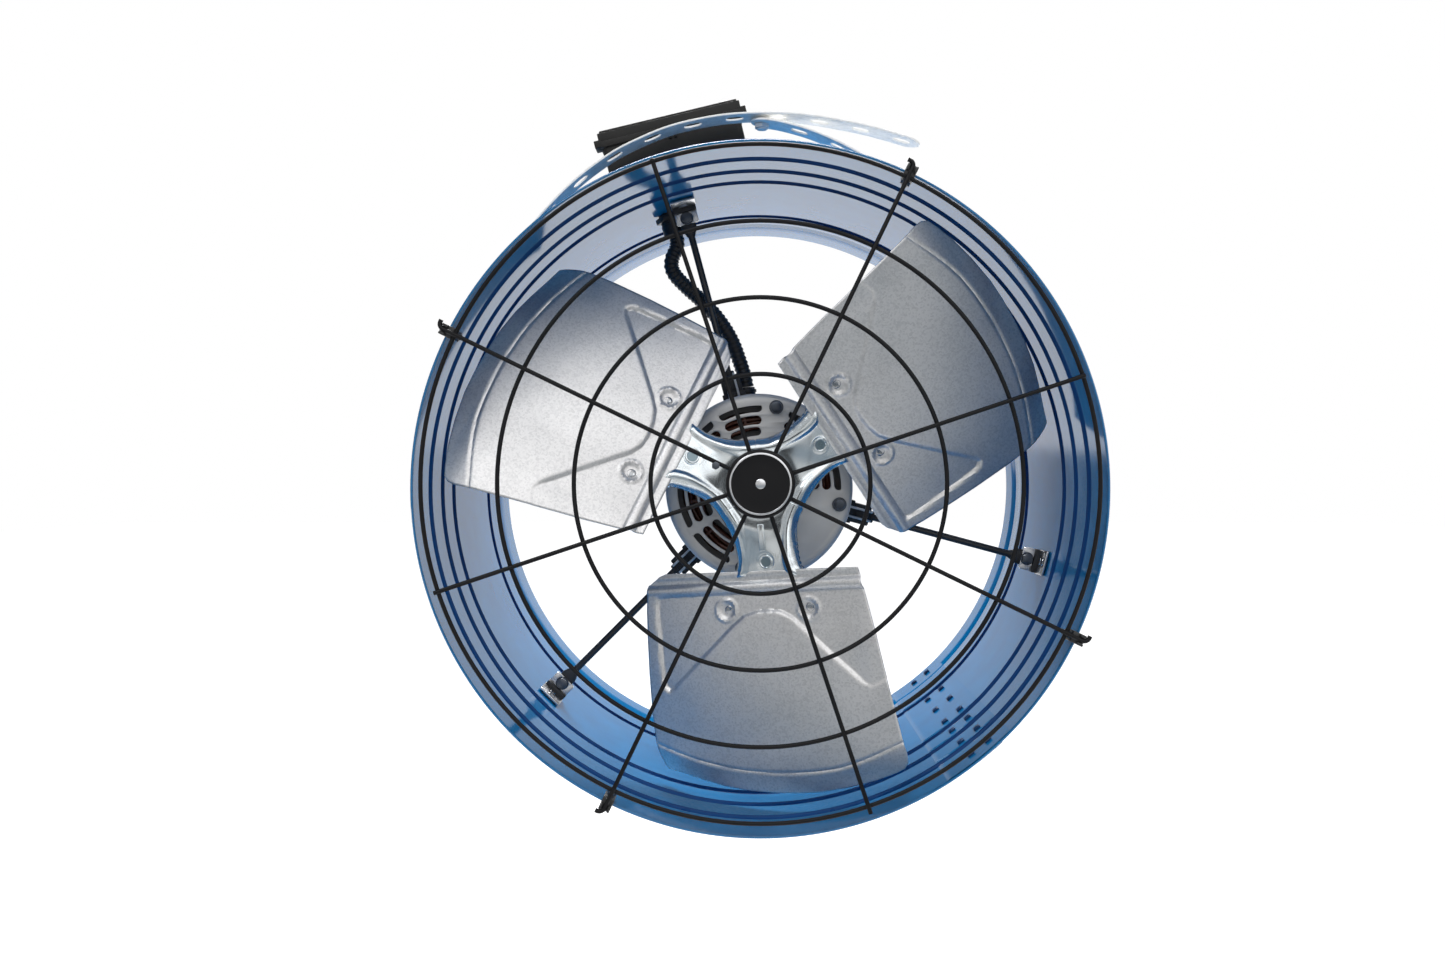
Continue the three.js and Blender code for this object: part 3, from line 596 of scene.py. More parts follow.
def spoke_end(angle, reach, foot):
    """Points from the badge out to the rim, then round a tight bend into the clip's foot."""
    x, _, z = out(1, angle, 0)
    points = [(x * r, SPOKE_Y, z * r + LIFT) for r in (0, 20, 60, 120, 180)]
    side = Vector((-z, 0, x)) * foot
    straight = reach - 3.0
    last = sqrt(straight ** 2 - (LIFT * x) ** 2) - LIFT * z
    points.append((x * last, SPOKE_Y, z * last + LIFT))
    if foot:
        at = Vector(points[-1])
        turn = Vector((x, 0, z))
        for step in range(1, 7):
            a = radians(15 * step)
            points.append(tuple(at + turn * 3 * sin(a) + side * 3 * (1 - cos(a))))
        points.append(tuple(Vector(points[-1]) + side * 1.2))
    return points


for angle in LONG_SPOKES:
    guard_parts.append(wire("spoke", spoke_end(angle, 196.2, 1 if cos(radians(angle)) > 0 else -1), WIRE_R))
for angle in SHORT_SPOKES:
    guard_parts.append(wire("spoke", spoke_end(angle, 189.4, 0), WIRE_R))
for angle in LONG_SPOKES + SHORT_SPOKES:
    for radius in RINGS:
        deselect()
        x, y, z = out(radius, angle, (RING_Y + SPOKE_Y) / 2)
        bpy.ops.mesh.primitive_uv_sphere_add(
            segments=16, ring_count=10, radius=1.62 * mm, location=(x * mm, y * mm, (z + LIFT) * mm),
        )
        weld = bpy.context.object
        weld.scale = (1.0, 0.8, 1.0)
        bpy.ops.object.transform_apply(location=True, rotation=True, scale=True)
        bpy.ops.object.shade_smooth()
        guard_parts.append(weld)
guard = joined("guard_wires", guard_parts)
activate(guard)
bpy.ops.object.shade_smooth_by_angle(angle=radians(50))
stands_for(guard, "housing", black_dip, "black_coating", "wire_guard")


# ---- guard badge -----------------------------------------------------------------------
# A small moulded cap snapped over the spokes where they cross, black, slightly domed, with a
# thin silver ring and a plain silver dot set into its face.
badge_profile = [
    (18.2, 6.3), (18.8, 6.7), (18.8, 9.0), (18.4, 9.7), (17.6, 10.05), (15.6, 9.75), (10, 9.95), (4, 10.03),
    (0.6, 10.05),
]
badge = turned("guard_badge_cap", badge_profile, 96, closed=True, smooth=50)
badge_black = finish(
    "badge_black", (0.004, 0.004, 0.005), (0.006, 0.006, 0.007), 0.35, grain=2400, bump=0.04, gloss=0.2,
)
stands_for(laid(badge, 0, 0, LIFT), "housing", badge_black, "black_coating", "guard_badge")
ring = turned(
    "badge_ring",
    [(16.0, 9.6), (16.9, 9.6), (16.9, 10.0), (16.6, 10.2), (16.2, 10.2), (15.95, 10.0), (16.0, 9.6)], 96,
)
dot = turned("badge_dot", [(2.7, 9.9), (2.7, 10.15), (2.3, 10.4), (0.3, 10.45)], 48, closed=True)
trim = joined("badge_trim", [ring, dot])
silver = finish(
    "silver_inlay", (0.58, 0.59, 0.61), (0.68, 0.69, 0.70), 0.25, metallic=1.0, grain=2600, bump=0.04,
)
stands_for(laid(trim, 0, 0, LIFT), "housing", silver, "black_coating")


# ---- guard clips -----------------------------------------------------------------------
# A black moulded clip at each end of the two long spokes: two walls and a bridge that slot over
# the folded rim, with two ears that stand forward either side of the rod.
CLIP_ANGLES = (64.65, 243.95, 153.27, 334.73)
clip_black = finish(
    "clip_black", (0.011, 0.011, 0.012), (0.022, 0.022, 0.022), 0.38, grain=1700, bump=0.15, wear=0.3,
    bare=(0.1, 0.1, 0.1), dust=0.1,
)
clip = joined("guard_clip", [
    block("clip_outer", (192.9, -3.0, -3.2), (194.7, 9.0, 3.2), 0.4),
    block("clip_inner", (187.6, -3.0, -3.2), (189.5, 9.0, 3.2), 0.4),
    block("clip_bridge", (187.6, -3.5, -3.2), (194.7, -0.9, 3.2), 0.6, 3),
    block("clip_ear_one", (191.2, -6.2, 1.7), (194.6, -1.4, 3.2), 0.5, 3),
    block("clip_ear_two", (191.2, -6.2, -3.2), (194.6, -1.4, -1.7), 0.5, 3),
])
for count, angle in enumerate(CLIP_ANGLES, 1):
    one = placed(copied(clip, f"guard_clip_piece_{count}"), angle)
    stands_for(one, "housing", clip_black, "black_coating", f"guard_clip_{count}")
bpy.data.objects.remove(clip)


# ---- guard screws ----------------------------------------------------------------------
# A small hexagon screw through each clip and the folded rim, with its nut inside the drum,
# blackened with a blue cast.
def hexagon(name, across, height, corner=0.25):
    """A hexagon head with its top corners turned off, standing on the origin."""
    deselect()
    bpy.ops.mesh.primitive_cylinder_add(
        vertices=6, radius=across * mm, depth=height * mm, location=(0, 0, height / 2 * mm),
    )
    bpy.ops.object.transform_apply(location=True, rotation=True, scale=True)
    made = bpy.context.object
    made.name = made.data.name = name
    return softened(made, corner, 2)


def stem(name, radius, low, high, corners=24):
    return turned(
        name, [(radius - 0.15, low), (radius, low + 0.15), (radius, high - 0.15), (radius - 0.15, high)],
        corners, closed=True,
    )


dark_bolt = finish(
    "dark_bolt", (0.05, 0.06, 0.075), (0.09, 0.10, 0.12), 0.35, metallic=0.8, grain=1800, bump=0.12, wear=0.5,
    bare=(0.4, 0.42, 0.45),
)
screw_top = moved(hexagon("screw_top", 2.7, 1.8), 0, 0, 194.9)
screw_nut = moved(hexagon("screw_nut", 2.8, 2.3), 0, 0, 185.0)
screw = joined("guard_screw", [
    screw_top, screw_nut, stem("screw_stem", 1.5, 184.3, 195.4),
    turned("screw_washer", [(2.9, 194.6), (3.1, 194.7), (3.1, 194.9), (2.9, 195.0)], 32, closed=True),
])
for count, angle in enumerate(CLIP_ANGLES, 1):
    one = along(copied(screw, f"guard_screw_piece_{count}"), (0, 4.4, 0), out(1, angle, 0))
    stands_for(one, "housing", dark_bolt, "dark_steel", f"guard_screw_{count}")
bpy.data.objects.remove(screw)
keeper = laid(hexagon("spoke_keeper_nut", 2.3, 1.8), -24.3, -6.0, 12.6)
stands_for(keeper, "housing", dark_bolt, "dark_steel")


# ---- blade spider ----------------------------------------------------------------------
# One pressing of zinc-plated steel: a flat dish at the shaft, three arms twisted to the blade
# pitch, and the edges between the arms curled back into a bright stiffening lip.
FAN_Y = 58.0
PITCH = radians(23)
ARM_ANGLES = (35.5, 155.4, 275.0)
ARM_HOLE_U = 44
ARM_EDGE = (
    (14.2, 24.6), (16.5, 23.2), (19, 21.9), (22, 20.6), (26, 19.4), (30, 18.7), (36, 18.5), (42, 18.9),
    (47, 20.0), (51, 22.5), (54, 27), (57, 31.5), (60, 33.6), (66, 34), (84, 34),
)


def between(table, u):
    for (u0, v0), (u1, v1) in zip(table, table[1:]):
        if u <= u1:
            return v0 + (v1 - v0) * max(0.0, (u - u0) / (u1 - u0))
    return table[-1][1]


def eased(low, high, value):
    share = min(1.0, max(0.0, (value - low) / (high - low)))
    return share * share * (3 - 2 * share)


def pitched(u, v, lift, twist=1.0):
    """A point of an arm or blade: u out, v round, lift towards the front, before its angle."""
    pitch = PITCH * twist
    return (u, FAN_Y - v * sin(pitch) - lift * cos(pitch), v * cos(pitch) - lift * sin(pitch))


def set_on_pitch(piece, u, v, lift):
    """Puts a piece made rising up Z on an arm or blade, square to its face."""
    piece.data.transform(
        Matrix.Translation(Vector(pitched(u, v, lift)) * mm) @ Matrix.Rotation(pi / 2 + PITCH, 4, "X")
    )
    return piece


def arm_width(u):
    return u * tan(radians(60)) if u < 14.2 else between(ARM_EDGE, u)


lip_line = []
for turn in (0, 120, 240):
    for u, v in [(14.2 + n * 0.6, arm_width(14.2 + n * 0.6)) for n in range(60)]:
        for side in (-1, 1):
            a = radians(turn) + atan2(side * v, u)
            lip_line.append(Vector((hypot(u, v) * cos(a), hypot(u, v) * sin(a))))


def arm_point(share_across, share_along):
    u = 0.02 + 83.98 * share_along ** 1.15
    v = arm_width(u) * (2 * share_across - 1)
    here = Vector((u, v))
    gap = min((here - edge).length for edge in lip_line) if u < 56 else 9
    curl = 6.6 - sqrt(max(0.0, 6.6 ** 2 - (4.4 - min(4.4, gap)) ** 2 * 2.2)) if gap < 4.4 else 0.0
    curl -= 1.5 * exp(-(((gap - 5.2) / 2.3) ** 2))
    pad = eased(50, 56, u)
    dished = -0.9 * (1 - eased(19, 26, hypot(u, v)))
    boss = 0.8 * (eased(4.6, 6.0, hypot(u - ARM_HOLE_U, v)) - 1) * (1 - pad)
    lift = dished - curl * (1 - pad) - 2.0 * pad + boss * 0.6
    return pitched(u, v, lift, eased(18, 46, u))


spider_zinc = finish(
    "spider_zinc", (0.66, 0.71, 0.73), (0.76, 0.81, 0.83), 0.20, metallic=0.95, coat=0.1, grain=1500, bump=0.08,
    wear=0.2, bare=(0.8, 0.8, 0.8),
)
arms = [placed(shaped_sheet("spider_arm", 72, 120, arm_point), angle) for angle in ARM_ANGLES]
spider = joined("spider_pressing", arms)
clean(spider, 40)
thick = spider.modifiers.new("sheet", "SOLIDIFY")
thick.thickness = 1.6 * mm
thick.offset = 0
apply_all(spider)
rim = turned(
    "arm_hole_rim", [(3.0, 0.2), (3.9, 0.2), (4.3, 0.7), (3.9, 1.3), (3.4, 1.35), (3.0, 1.0), (3.0, 0.2)], 40,
)
# a darker disc set down in each arm hole is painted shade for the dark of the hole
hole_shade_disc = turned("arm_hole_dark", [(3.1, 0.3), (3.1, 0.42)], 32, closed=True)
rims = []
for angle in ARM_ANGLES:
    rims.append(placed(set_on_pitch(copied(rim, "arm_hole"), ARM_HOLE_U, 0, -0.2), angle))
spider = joined("spider_pressing", [spider, *rims])
rib = block("arm_rib", (21.5, FAN_Y - 2.2, -3.4), (37.5, FAN_Y - 0.6, 0.4), 0.5, 3)
spider = joined("spider_pressing", [spider, placed(rib, 275)])
stands_for(spider, "rotor", spider_zinc, "zinc", "blade_spider")
# the disc's blue-grey, darker than the zinc round it, is that painted shade
dark_hole = finish("dark_hole", (0.16, 0.22, 0.25), (0.26, 0.33, 0.36), 0.3, metallic=0.8)
holes = []
for angle in ARM_ANGLES:
    holes.append(placed(set_on_pitch(copied(hole_shade_disc, "arm_hole_floor"), ARM_HOLE_U, 0, 0.35), angle))
stands_for(joined("arm_holes", holes), "rotor", dark_hole, "zinc")
bpy.data.objects.remove(rim)
bpy.data.objects.remove(hole_shade_disc)


# ---- blades ----------------------------------------------------------------------------
# Three broad blades pressed from spangled galvanised sheet, embossed where they are riveted to
# the arms, with a folded root edge and the tip bent back along an arc close to the drum.
FAR_EDGE = (
    (48, -67), (51, -73.5), (55, -79), (70, -80.6), (85, -81.5), (109, -82.5), (133, -82.8), (152, -81.9),
    (158.6, -80.4), (164, -78.6), (167.3, -76.5),
)
TIP_EDGE = (
    (167.3, -76.5), (169.7, -67.8), (174.6, -52), (178, -39), (180.6, -22), (181.3, -8.5), (181.4, 8),
    (180.5, 22), (177.4, 40), (173.4, 56), (169.2, 68), (166.4, 74),
)
NEAR_EDGE = (
    (50, 56.8), (54, 57.6), (70, 61), (88, 64.8), (105, 67.7), (122, 70.6), (136, 73), (149.4, 75.2),
    (158, 76.6), (163, 76.4), (166.4, 74),
)
BLADE_BOW, BLADE_LIFT = 2.86, 1.9
ROOT_EDGE = ((48, -67), (48.6, -40), (49.2, 0), (49.7, 35), (50, 56.8))
PLATEAU = (
    (61.4, -70), (62.4, -72.8), (66, -74), (112, -73.4), (117.5, -72.2), (119.5, -69.5), (118, -66),
    (80.5, -22.5), (76, -16), (73.6, -8), (73, 1), (74, 8), (77.5, 14.5), (110, 48.5), (116.5, 55.5),
    (118.5, 60), (117, 64.5), (113, 72), (90, 70), (61.4, 62),
)


def line_at(table, share):
    """The point that share of the way along a line of points."""
    steps = [hypot(b[0] - a[0], b[1] - a[1]) for a, b in zip(table, table[1:])]
    left = share * sum(steps)
    for (a, b), step in zip(zip(table, table[1:]), steps):
        if left <= step or (a, b) == (table[-2], table[-1]):
            k = min(1.0, left / step)
            return Vector((a[0] + (b[0] - a[0]) * k, a[1] + (b[1] - a[1]) * k))
        left -= step


def depth_in(outline, u, v):
    """How far inside a closed outline a point lies, negative outside it."""
    nearest, inside_it = 1e9, False
    for (u0, v0), (u1, v1) in zip(outline, (*outline[1:], outline[0])):
        du, dv = u1 - u0, v1 - v0
        k = min(1.0, max(0.0, ((u - u0) * du + (v - v0) * dv) / (du * du + dv * dv)))
        nearest = min(nearest, hypot(u - u0 - du * k, v - v0 - dv * k))
        if (v0 > v) != (v1 > v) and u < u0 + du * (v - v0) / dv:
            inside_it = not inside_it
    return nearest if inside_it else -nearest


def blade_point(share_across, share_out):
    far, near = line_at(FAR_EDGE, share_out), line_at(NEAR_EDGE, share_out)
    root, tip = line_at(ROOT_EDGE, share_across), line_at(TIP_EDGE, share_across)
    corners = [Vector(p) for p in (FAR_EDGE[0], NEAR_EDGE[0], TIP_EDGE[0], TIP_EDGE[-1])]
    a, b = share_across, share_out
    flat = far * (1 - a) + near * a + root * (1 - b) + tip * b
    flat -= (
        corners[0] * (1 - a) * (1 - b) + corners[1] * a * (1 - b)
        + corners[2] * (1 - a) * b + corners[3] * a * b
    )
    u, v = flat
    emboss = -1.8 * eased(-1.2, 1.2, depth_in(PLATEAU, u, v))
    fade = 1 - eased(50, 62, v) * eased(66, 100, u)
    emboss *= 0.25 + 0.75 * fade
    fold = -2.2 * (1 - eased(54.6, 57.4, u))
    fold += 0.6 * exp(-(((u - 58.6) / 1.3) ** 2)) + 0.5 * exp(-(((u - 50.6) / 1.0) ** 2))
    rings = 0.0
    for rivet_u, rivet_v in ((71.6, -27.4), (72.5, 25.2)):
        apart = hypot(u - rivet_u, v - rivet_v)
        rings += 0.8 * exp(-(((apart - 6.3) / 0.9) ** 2)) - 0.9 * exp(-((apart / 5.0) ** 6))
    reach = hypot(u, v * cos(PITCH))
    crease = 169.4 - 3.2 * eased(30, 75, v)
    past = max(0.0, reach - crease)
    flange = past * tan(radians(15)) + 0.7 * exp(-(((reach - crease + 0.4) / 0.9) ** 2))
    bow = BLADE_BOW * sin(pi * min(1, max(0, (u - 60) / 110))) * (1 - ((v + 3) / 85) ** 2)
    return pitched(u, v, BLADE_LIFT + emboss + fold + rings - flange + bow)


blade_zinc = finish(
    "blade_zinc", (0.60, 0.597, 0.595), (0.72, 0.715, 0.71), 0.40, metallic=0.92, grain=1500, bump=0.5,
    flakes=1000, flake_bump=0.14,
)
blade = shaped_sheet("fan_blade", 128, 150, blade_point, 32)
thick = blade.modifiers.new("sheet", "SOLIDIFY")
thick.thickness = 1.0 * mm
thick.offset = -1
apply_all(blade)
for count, angle in enumerate(ARM_ANGLES, 1):
    one = placed(copied(blade, f"fan_blade_{count}"), angle)
    stands_for(one, "rotor", blade_zinc, "galvanised", f"blade_{count}")
bpy.data.objects.remove(blade)


# ---- blade rivets ----------------------------------------------------------------------
# Two solid zinc rivets hold each blade on its arm: a low round head in front with a flat set
# on it, and a wider upset tail behind the arm.
rivet = turned("blade_rivet", [
    (3.2, -2.4), (3.8, -2.1), (3.8, -1.1), (2.0, -1.0), (2.0, 1.2), (4.0, 1.2), (4.25, 1.5), (4.0, 2.1),
    (3.2, 2.75), (2.2, 3.05), (2.0, 2.9), (0.4, 2.9),
], 40, closed=True, smooth=38)
rivet_zinc = finish(
    "rivet_zinc", (0.26, 0.28, 0.30), (0.48, 0.49, 0.50), 0.24, metallic=0.9, grain=1500, bump=0.15, wear=0.3,
    bare=(0.7, 0.7, 0.7),
)
count = 0
for angle in ARM_ANGLES:
    for v in (-26.0, 26.0):
        count += 1
        one = set_on_pitch(copied(rivet, f"blade_rivet_piece_{count}"), 72, v, -1.8)
        stands_for(placed(one, angle), "rotor", rivet_zinc, "zinc", f"blade_rivet_{count}")
bpy.data.objects.remove(rivet)


# ---- hub, set screw and shaft ----------------------------------------------------------
# A turned steel hub staked to the middle of the spider and locked on the motor's shaft by a
# set screw.
turned_steel = finish(
    "turned_steel", (0.42, 0.43, 0.45), (0.56, 0.57, 0.59), 0.28, metallic=1.0, grain=2600, bump=0.10,
)
hub = turned("hub", [
    (9.4, 55.2), (10, 55.8), (10, 56.8), (9.6, 57.0), (9.6, 59.2), (10.7, 59.3), (11, 59.6), (11, 79.6),
    (10.6, 80), (4.4, 80),
], 64, closed=True)
stands_for(on_axis(hub), "rotor", turned_steel, "bright_steel", "spider_hub")
set_screw = turned(
    "set_screw", [(2.2, 4.2), (2.4, 4.4), (2.4, 11.4), (2.2, 11.7), (1.2, 11.7), (1.2, 10.2)], 24, closed=True,
)
stands_for(along(set_screw, (0, 72, 0), (1, 0, 0)), "rotor", dark_bolt, "dark_steel", "hub_set_screw")
shaft = turned("shaft", [(3.5, 49), (4, 49.5), (4, 170.1), (3.5, 170.6)], 48, closed=True)
stands_for(on_axis(shaft), "rotor", turned_steel, "bright_steel", "motor_shaft")


# ---- motor covers ----------------------------------------------------------------------
# Two pressed cups close the motor, front and rear: a face with three rows of curved cooling
# slots in three of its quarters, a bead round the shaft, and a rolled shoulder to the wall.
SLOT_ROWS = (34.5, 41.5, 49.0)


def plate(name, outline, holes, thickness, round_off=0.3):
    """A flat plate cut to an outline, with holes and softened edges, lying on z 0 and rising."""
    flat = bpy.data.curves.new(name, "CURVE")
    flat.dimensions = "2D"
    flat.fill_mode = "BOTH"
    flat.extrude = (thickness / 2 - round_off) * mm
    flat.bevel_depth = round_off * mm
    flat.bevel_resolution = 1
    flat.offset = -round_off * mm
    for loop in (outline, *holes):
        edge = flat.splines.new("POLY")
        edge.points.add(len(loop) - 1)
        for spot, (x, y) in zip(edge.points, loop):
            spot.co = (x * mm, y * mm, 0, 1)
        edge.use_cyclic_u = True
    made = bpy.data.objects.new(name, flat)
    bpy.context.collection.objects.link(made)
    activate(made)
    bpy.ops.object.convert(target="MESH")
    return clean(moved(bpy.context.object, 0, 0, thickness / 2), 40)


def circle(radius, corners=64, middle=(0, 0)):
    return [
        (
            middle[0] + radius * cos(2 * pi * n / corners), middle[1] + radius * sin(2 * pi * n / corners),
        ) for n in range(corners)
    ]


def curved_slot(radius, width, start, end):
    """A slot with round ends that follows a circle from one angle to another."""
    half = width / 2
    tuck = degrees(half / radius)
    start, end = start + tuck, end - tuck
    loop = []
    for n in range(13):
        a = radians(start + (end - start) * n / 12)
        loop.append(((radius + half) * cos(a), (radius + half) * sin(a)))
    for n in range(1, 7):
        a, b = radians(end), radians(end + 180 * n / 7)
        loop.append((radius * cos(a) + half * cos(b), radius * sin(a) + half * sin(b)))
    for n in range(13):
        a = radians(end + (start - end) * n / 12)
        loop.append(((radius - half) * cos(a), (radius - half) * sin(a)))
    for n in range(1, 7):
        a, b = radians(start), radians(start + 180 + 180 * n / 7)
        loop.append((radius * cos(a) + half * cos(b), radius * sin(a) + half * sin(b)))
    return loop


slots = []
for quarter in (0, 1, 3):
    for radius in SLOT_ROWS:
        for n in range(2):
            start = 88 + 90 * quarter + 38 * n
            slots.append(curved_slot(radius, 5.3, start, start + 32))
motor_paint = finish(
    "motor_paint", (0.46, 0.46, 0.455), (0.58, 0.58, 0.57), 0.42, metallic=0.3, grain=1200, bump=0.18, wear=0.4,
    bare=(0.4, 0.4, 0.42), dust=0.15,
)
face = plate("motor_face", circle(53.2, 160), [circle(11.2, 64), *slots], 2.0, 0.45)
boss = turned(
    "motor_boss",
    [(11.0, 0.2), (11.0, 3.2), (11.8, 3.9), (14.2, 3.9), (15.4, 3.0), (16.4, 1.6), (16.6, 0.4), (11.0, 0.2)],
    96,
)
bearing_cap = turned("bearing_cap", [(4.6, 0.6), (4.6, 2.0), (10.9, 2.4), (11.1, 1.0), (4.6, 0.6)], 64)
shoulder = turned("motor_shoulder", [
    (50.5, 1.9), (52.8, 2.05), (55.2, 1.6), (57.0, 0.2), (57.9, -1.8), (58.0, -4), (58.0, -20.2), (59.1, -20.6),
    (59.2, -21.6),
    (58.2, -22.0), (55.6, -22.0), (55.6, -3), (54, -0.4), (50.5, 0.1), (50.5, 1.9),
], 160)
cup = joined("motor_cup", [face, boss, bearing_cap, shoulder])
front_cup = laid(copied(cup, "motor_front_cup"), 0, 90, 0)
stands_for(front_cup, "housing", motor_paint, "motor_grey", "motor_front_cover")
stands_for(
    placed(laid(cup, 0, 166.6, 0, -pi / 2), 156), "housing", motor_paint, "motor_grey", "motor_rear_cover",
)


# ---- stator and rotor stacks -----------------------------------------------------------
# The stator is a stack of thin steel stampings held between the cups; the rotor stack turns
# inside it. They and the two bearings keep their plain shape and take a laminated finish.
core_steel = finish(
    "core_steel", (0.16, 0.165, 0.175), (0.24, 0.24, 0.25), 0.45, metallic=0.8, grain=900, bump=0.2, dust=0.1,
)
tree = core_steel.node_tree
shader = tree.nodes["Principled BSDF"]
depth = node(tree, "ShaderNodeSeparateXYZ", {0: node(tree, "ShaderNodeTexCoord").outputs["Object"]})
leaves = node(tree, "ShaderNodeMath", {0: depth.outputs["Y"], 1: 2 * pi / 0.001}, operation="MULTIPLY")
edges = node(tree, "ShaderNodeMath", {0: leaves.outputs[0]}, operation="SINE")
stacked = node(tree, "ShaderNodeBump", {"Height": edges.outputs[0], "Strength": 0.5, "Distance": 0.0002})
tree.links.new(stacked.outputs[0], shader.inputs["Normal"])


def paints(name, paint):
    """Gives a kept CAD node its finish."""
    kept_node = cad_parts[name]
    kept_node.data.materials.clear()
    kept_node.data.materials.append(paint)


for name in ("stator_core", "rotor_core", "bearing_front", "bearing_rear"):
    paints(name, core_steel)


# ---- windings --------------------------------------------------------------------------
# The ends of the copper coils, lacquered brown and laced round in bundles, front and rear.
coil_lacquer = finish(
    "coil_lacquer", (0.028, 0.010, 0.006), (0.12, 0.038, 0.022), 0.35, metallic=0.3, coat=0.2, grain=1000,
    bump=0.3,
)


def coil_end(y0, y1):
    strands = []
    middle, half = (y0 + y1) / 2, (y1 - y0) / 2 - 0.9
    for layer in range(5):
        for ring in range(4):
            radius = 37.0 + ring * 2.9 + (0.7 if layer % 2 else 0)
            y = middle + (layer - 2) * half / 2.3
            points = [
                out(
                    radius + 0.5 * sin(radians(a * 9 + ring * 60)), a,
                    y + 0.7 * sin(radians(a * 8 + layer * 70 + ring * 40)),
                ) for a in range(0, 366, 6)
            ]
            strands.append(wire("strand", points, 1.35, 2))
    for a in range(0, 360, 30):
        strands.append(placed(block("lacing", (35.4, y0 + 0.6, -1.0), (47.4, y1 - 0.6, 1.0), 0.7, 2), a + 12))
    return strands


front_coils = joined("coil_end_front", coil_end(97.3, 112))
rear_coils = moved(copied(front_coils, "coil_end_rear"), 0, 144.6 - 97.3, 0)
stands_for(front_coils, "housing", coil_lacquer, "winding_copper", "winding_front")
stands_for(rear_coils, "housing", coil_lacquer, "winding_copper", "winding_rear")


# ---- through bolts ---------------------------------------------------------------------
# Four long screws draw the two cups together, with round cross-cut heads in front and nuts
# behind, each on a plain washer.
plated_bolt = finish(
    "plated_bolt", (0.62, 0.62, 0.62), (0.75, 0.75, 0.74), 0.5, metallic=0.25, grain=2000, bump=0.12,
)
head = turned(
    "bolt_head", [(3.3, 0.5), (3.5, 0.8), (3.5, 1.9), (3.1, 2.6), (2.2, 2.95), (0.4, 3.0)], 40, closed=True,
)


def cross_cut(head, reach, half, low, high):
    """Cuts a cross for a driver into the top of a screw's head."""
    cut = joined("cross_cut", [
        block("cut_one", (-reach, -half, low), (reach, half, high), 0.05, 1),
        block("cut_two", (-half, -reach, low), (half, reach, high), 0.05, 1),
    ])
    recess = head.modifiers.new("cross", "BOOLEAN")
    recess.object = cut
    recess.operation = "DIFFERENCE"
    recess.solver = "EXACT"
    apply_all(head)
    bpy.data.objects.remove(cut)


cross_cut(head, 2.3, 0.5, 1.7, 3.3)
washer = turned("bolt_washer", [(4.3, 0.0), (4.4, 0.1), (4.4, 0.45), (4.2, 0.6)], 32, closed=True)
nut = moved(hexagon("bolt_nut", 3.6, 2.6), 0, 0, -84.2)
bolt = joined("through_bolt", [head, washer, nut, stem("bolt_stem", 1.7, -85, 1.0)])
for n in range(4):
    one = along(copied(bolt, f"through_bolt_piece_{n + 1}"), out(50.5, 78 + 90 * n, 87.4), (0, -1, 0))
    stands_for(one, "housing", dark_bolt, "bright_steel", f"through_bolt_{n + 1}")
bpy.data.objects.remove(bolt)


# ---- strut blocks ----------------------------------------------------------------------
# Three black rubber-faced blocks on the motor's waist, each held by two thin studs and
# gripping the inner end of a strut.
STRUT_ANGLES = (105, 225, 345)
STRUT_Y = 138
soft_black = finish(
    "soft_black", (0.018, 0.018, 0.019), (0.03, 0.03, 0.031), 0.6, grain=1800, bump=0.25, dust=0.25,
)
foot_block = joined("strut_block", [
    block("block_body", (62.0, 133.0, -6.5), (75.0, 143.0, 6.5), 1.0, 3),
    block("block_saddle", (59.3, 132.2, -7.6), (63.4, 143.8, 7.6), 0.6, 2),
    block("block_rib", (65.0, 132.3, -3.2), (73.0, 143.6, 3.2), 0.7, 2),
    along(
        turned("block_collar", [(3.4, 0), (3.9, 0.4), (3.9, 2.6), (3.4, 3.0)], 32, closed=True),
        (74.8, STRUT_Y, 0), (1, 0, 0),
    ),
])
stud = wire("block_stud", [(58.4, 133.6, 3), (58.4, 130.6, 3), (74.6, 130.6, 3), (75.6, 131.2, 3)], 0.75, 2)
other_stud = moved(copied(stud, "block_stud_two"), 0, 0, -6)
studs = joined("block_studs", [stud, other_stud])
for count, angle in enumerate(STRUT_ANGLES, 1):
    one = placed(copied(foot_block, f"strut_block_piece_{count}"), angle)
    stands_for(one, "housing", soft_black, "black_rubber", f"strut_block_{count}")
    pair = placed(copied(studs, f"strut_block_studs_{count}"), angle)
    stands_for(pair, "housing", plated_bolt, "black_rubber")
bpy.data.objects.remove(foot_block)
bpy.data.objects.remove(studs)


# ---- struts ----------------------------------------------------------------------------
# Round steel rods from the motor out to the drum, each flattened at its outer end into a
# drilled pad, painted black.
STRUT_R = 2.2
rod_black = finish(
    "rod_black", (0.014, 0.014, 0.015), (0.03, 0.03, 0.032), 0.4, coat=0.1, grain=1200, bump=0.15, wear=0.4,
    bare=(0.3, 0.3, 0.3), dust=0.15,
)


def strut_point(share_round, share_out):
    u = 66.3 + 120.7 * share_out
    flat = eased(168, 175, u)
    a = 2 * pi * share_round
    wide = STRUT_R + (5.0 - STRUT_R) * flat
    deep = STRUT_R + (1.25 - STRUT_R) * flat
    if u > 181:
        wide *= sqrt(max(0.02, 1 - ((u - 181) / 6.01) ** 2))
    square = 1 + flat * (min(1.35, 1 / max(abs(cos(a)), abs(sin(a)))) - 1) * 0.8
    squared = min(1.0, square)
    y = STRUT_Y - 1.05 * flat + deep * sin(a) * (1 if flat < 0.5 else squared)
    return (u, y, wide * cos(a) * squared)


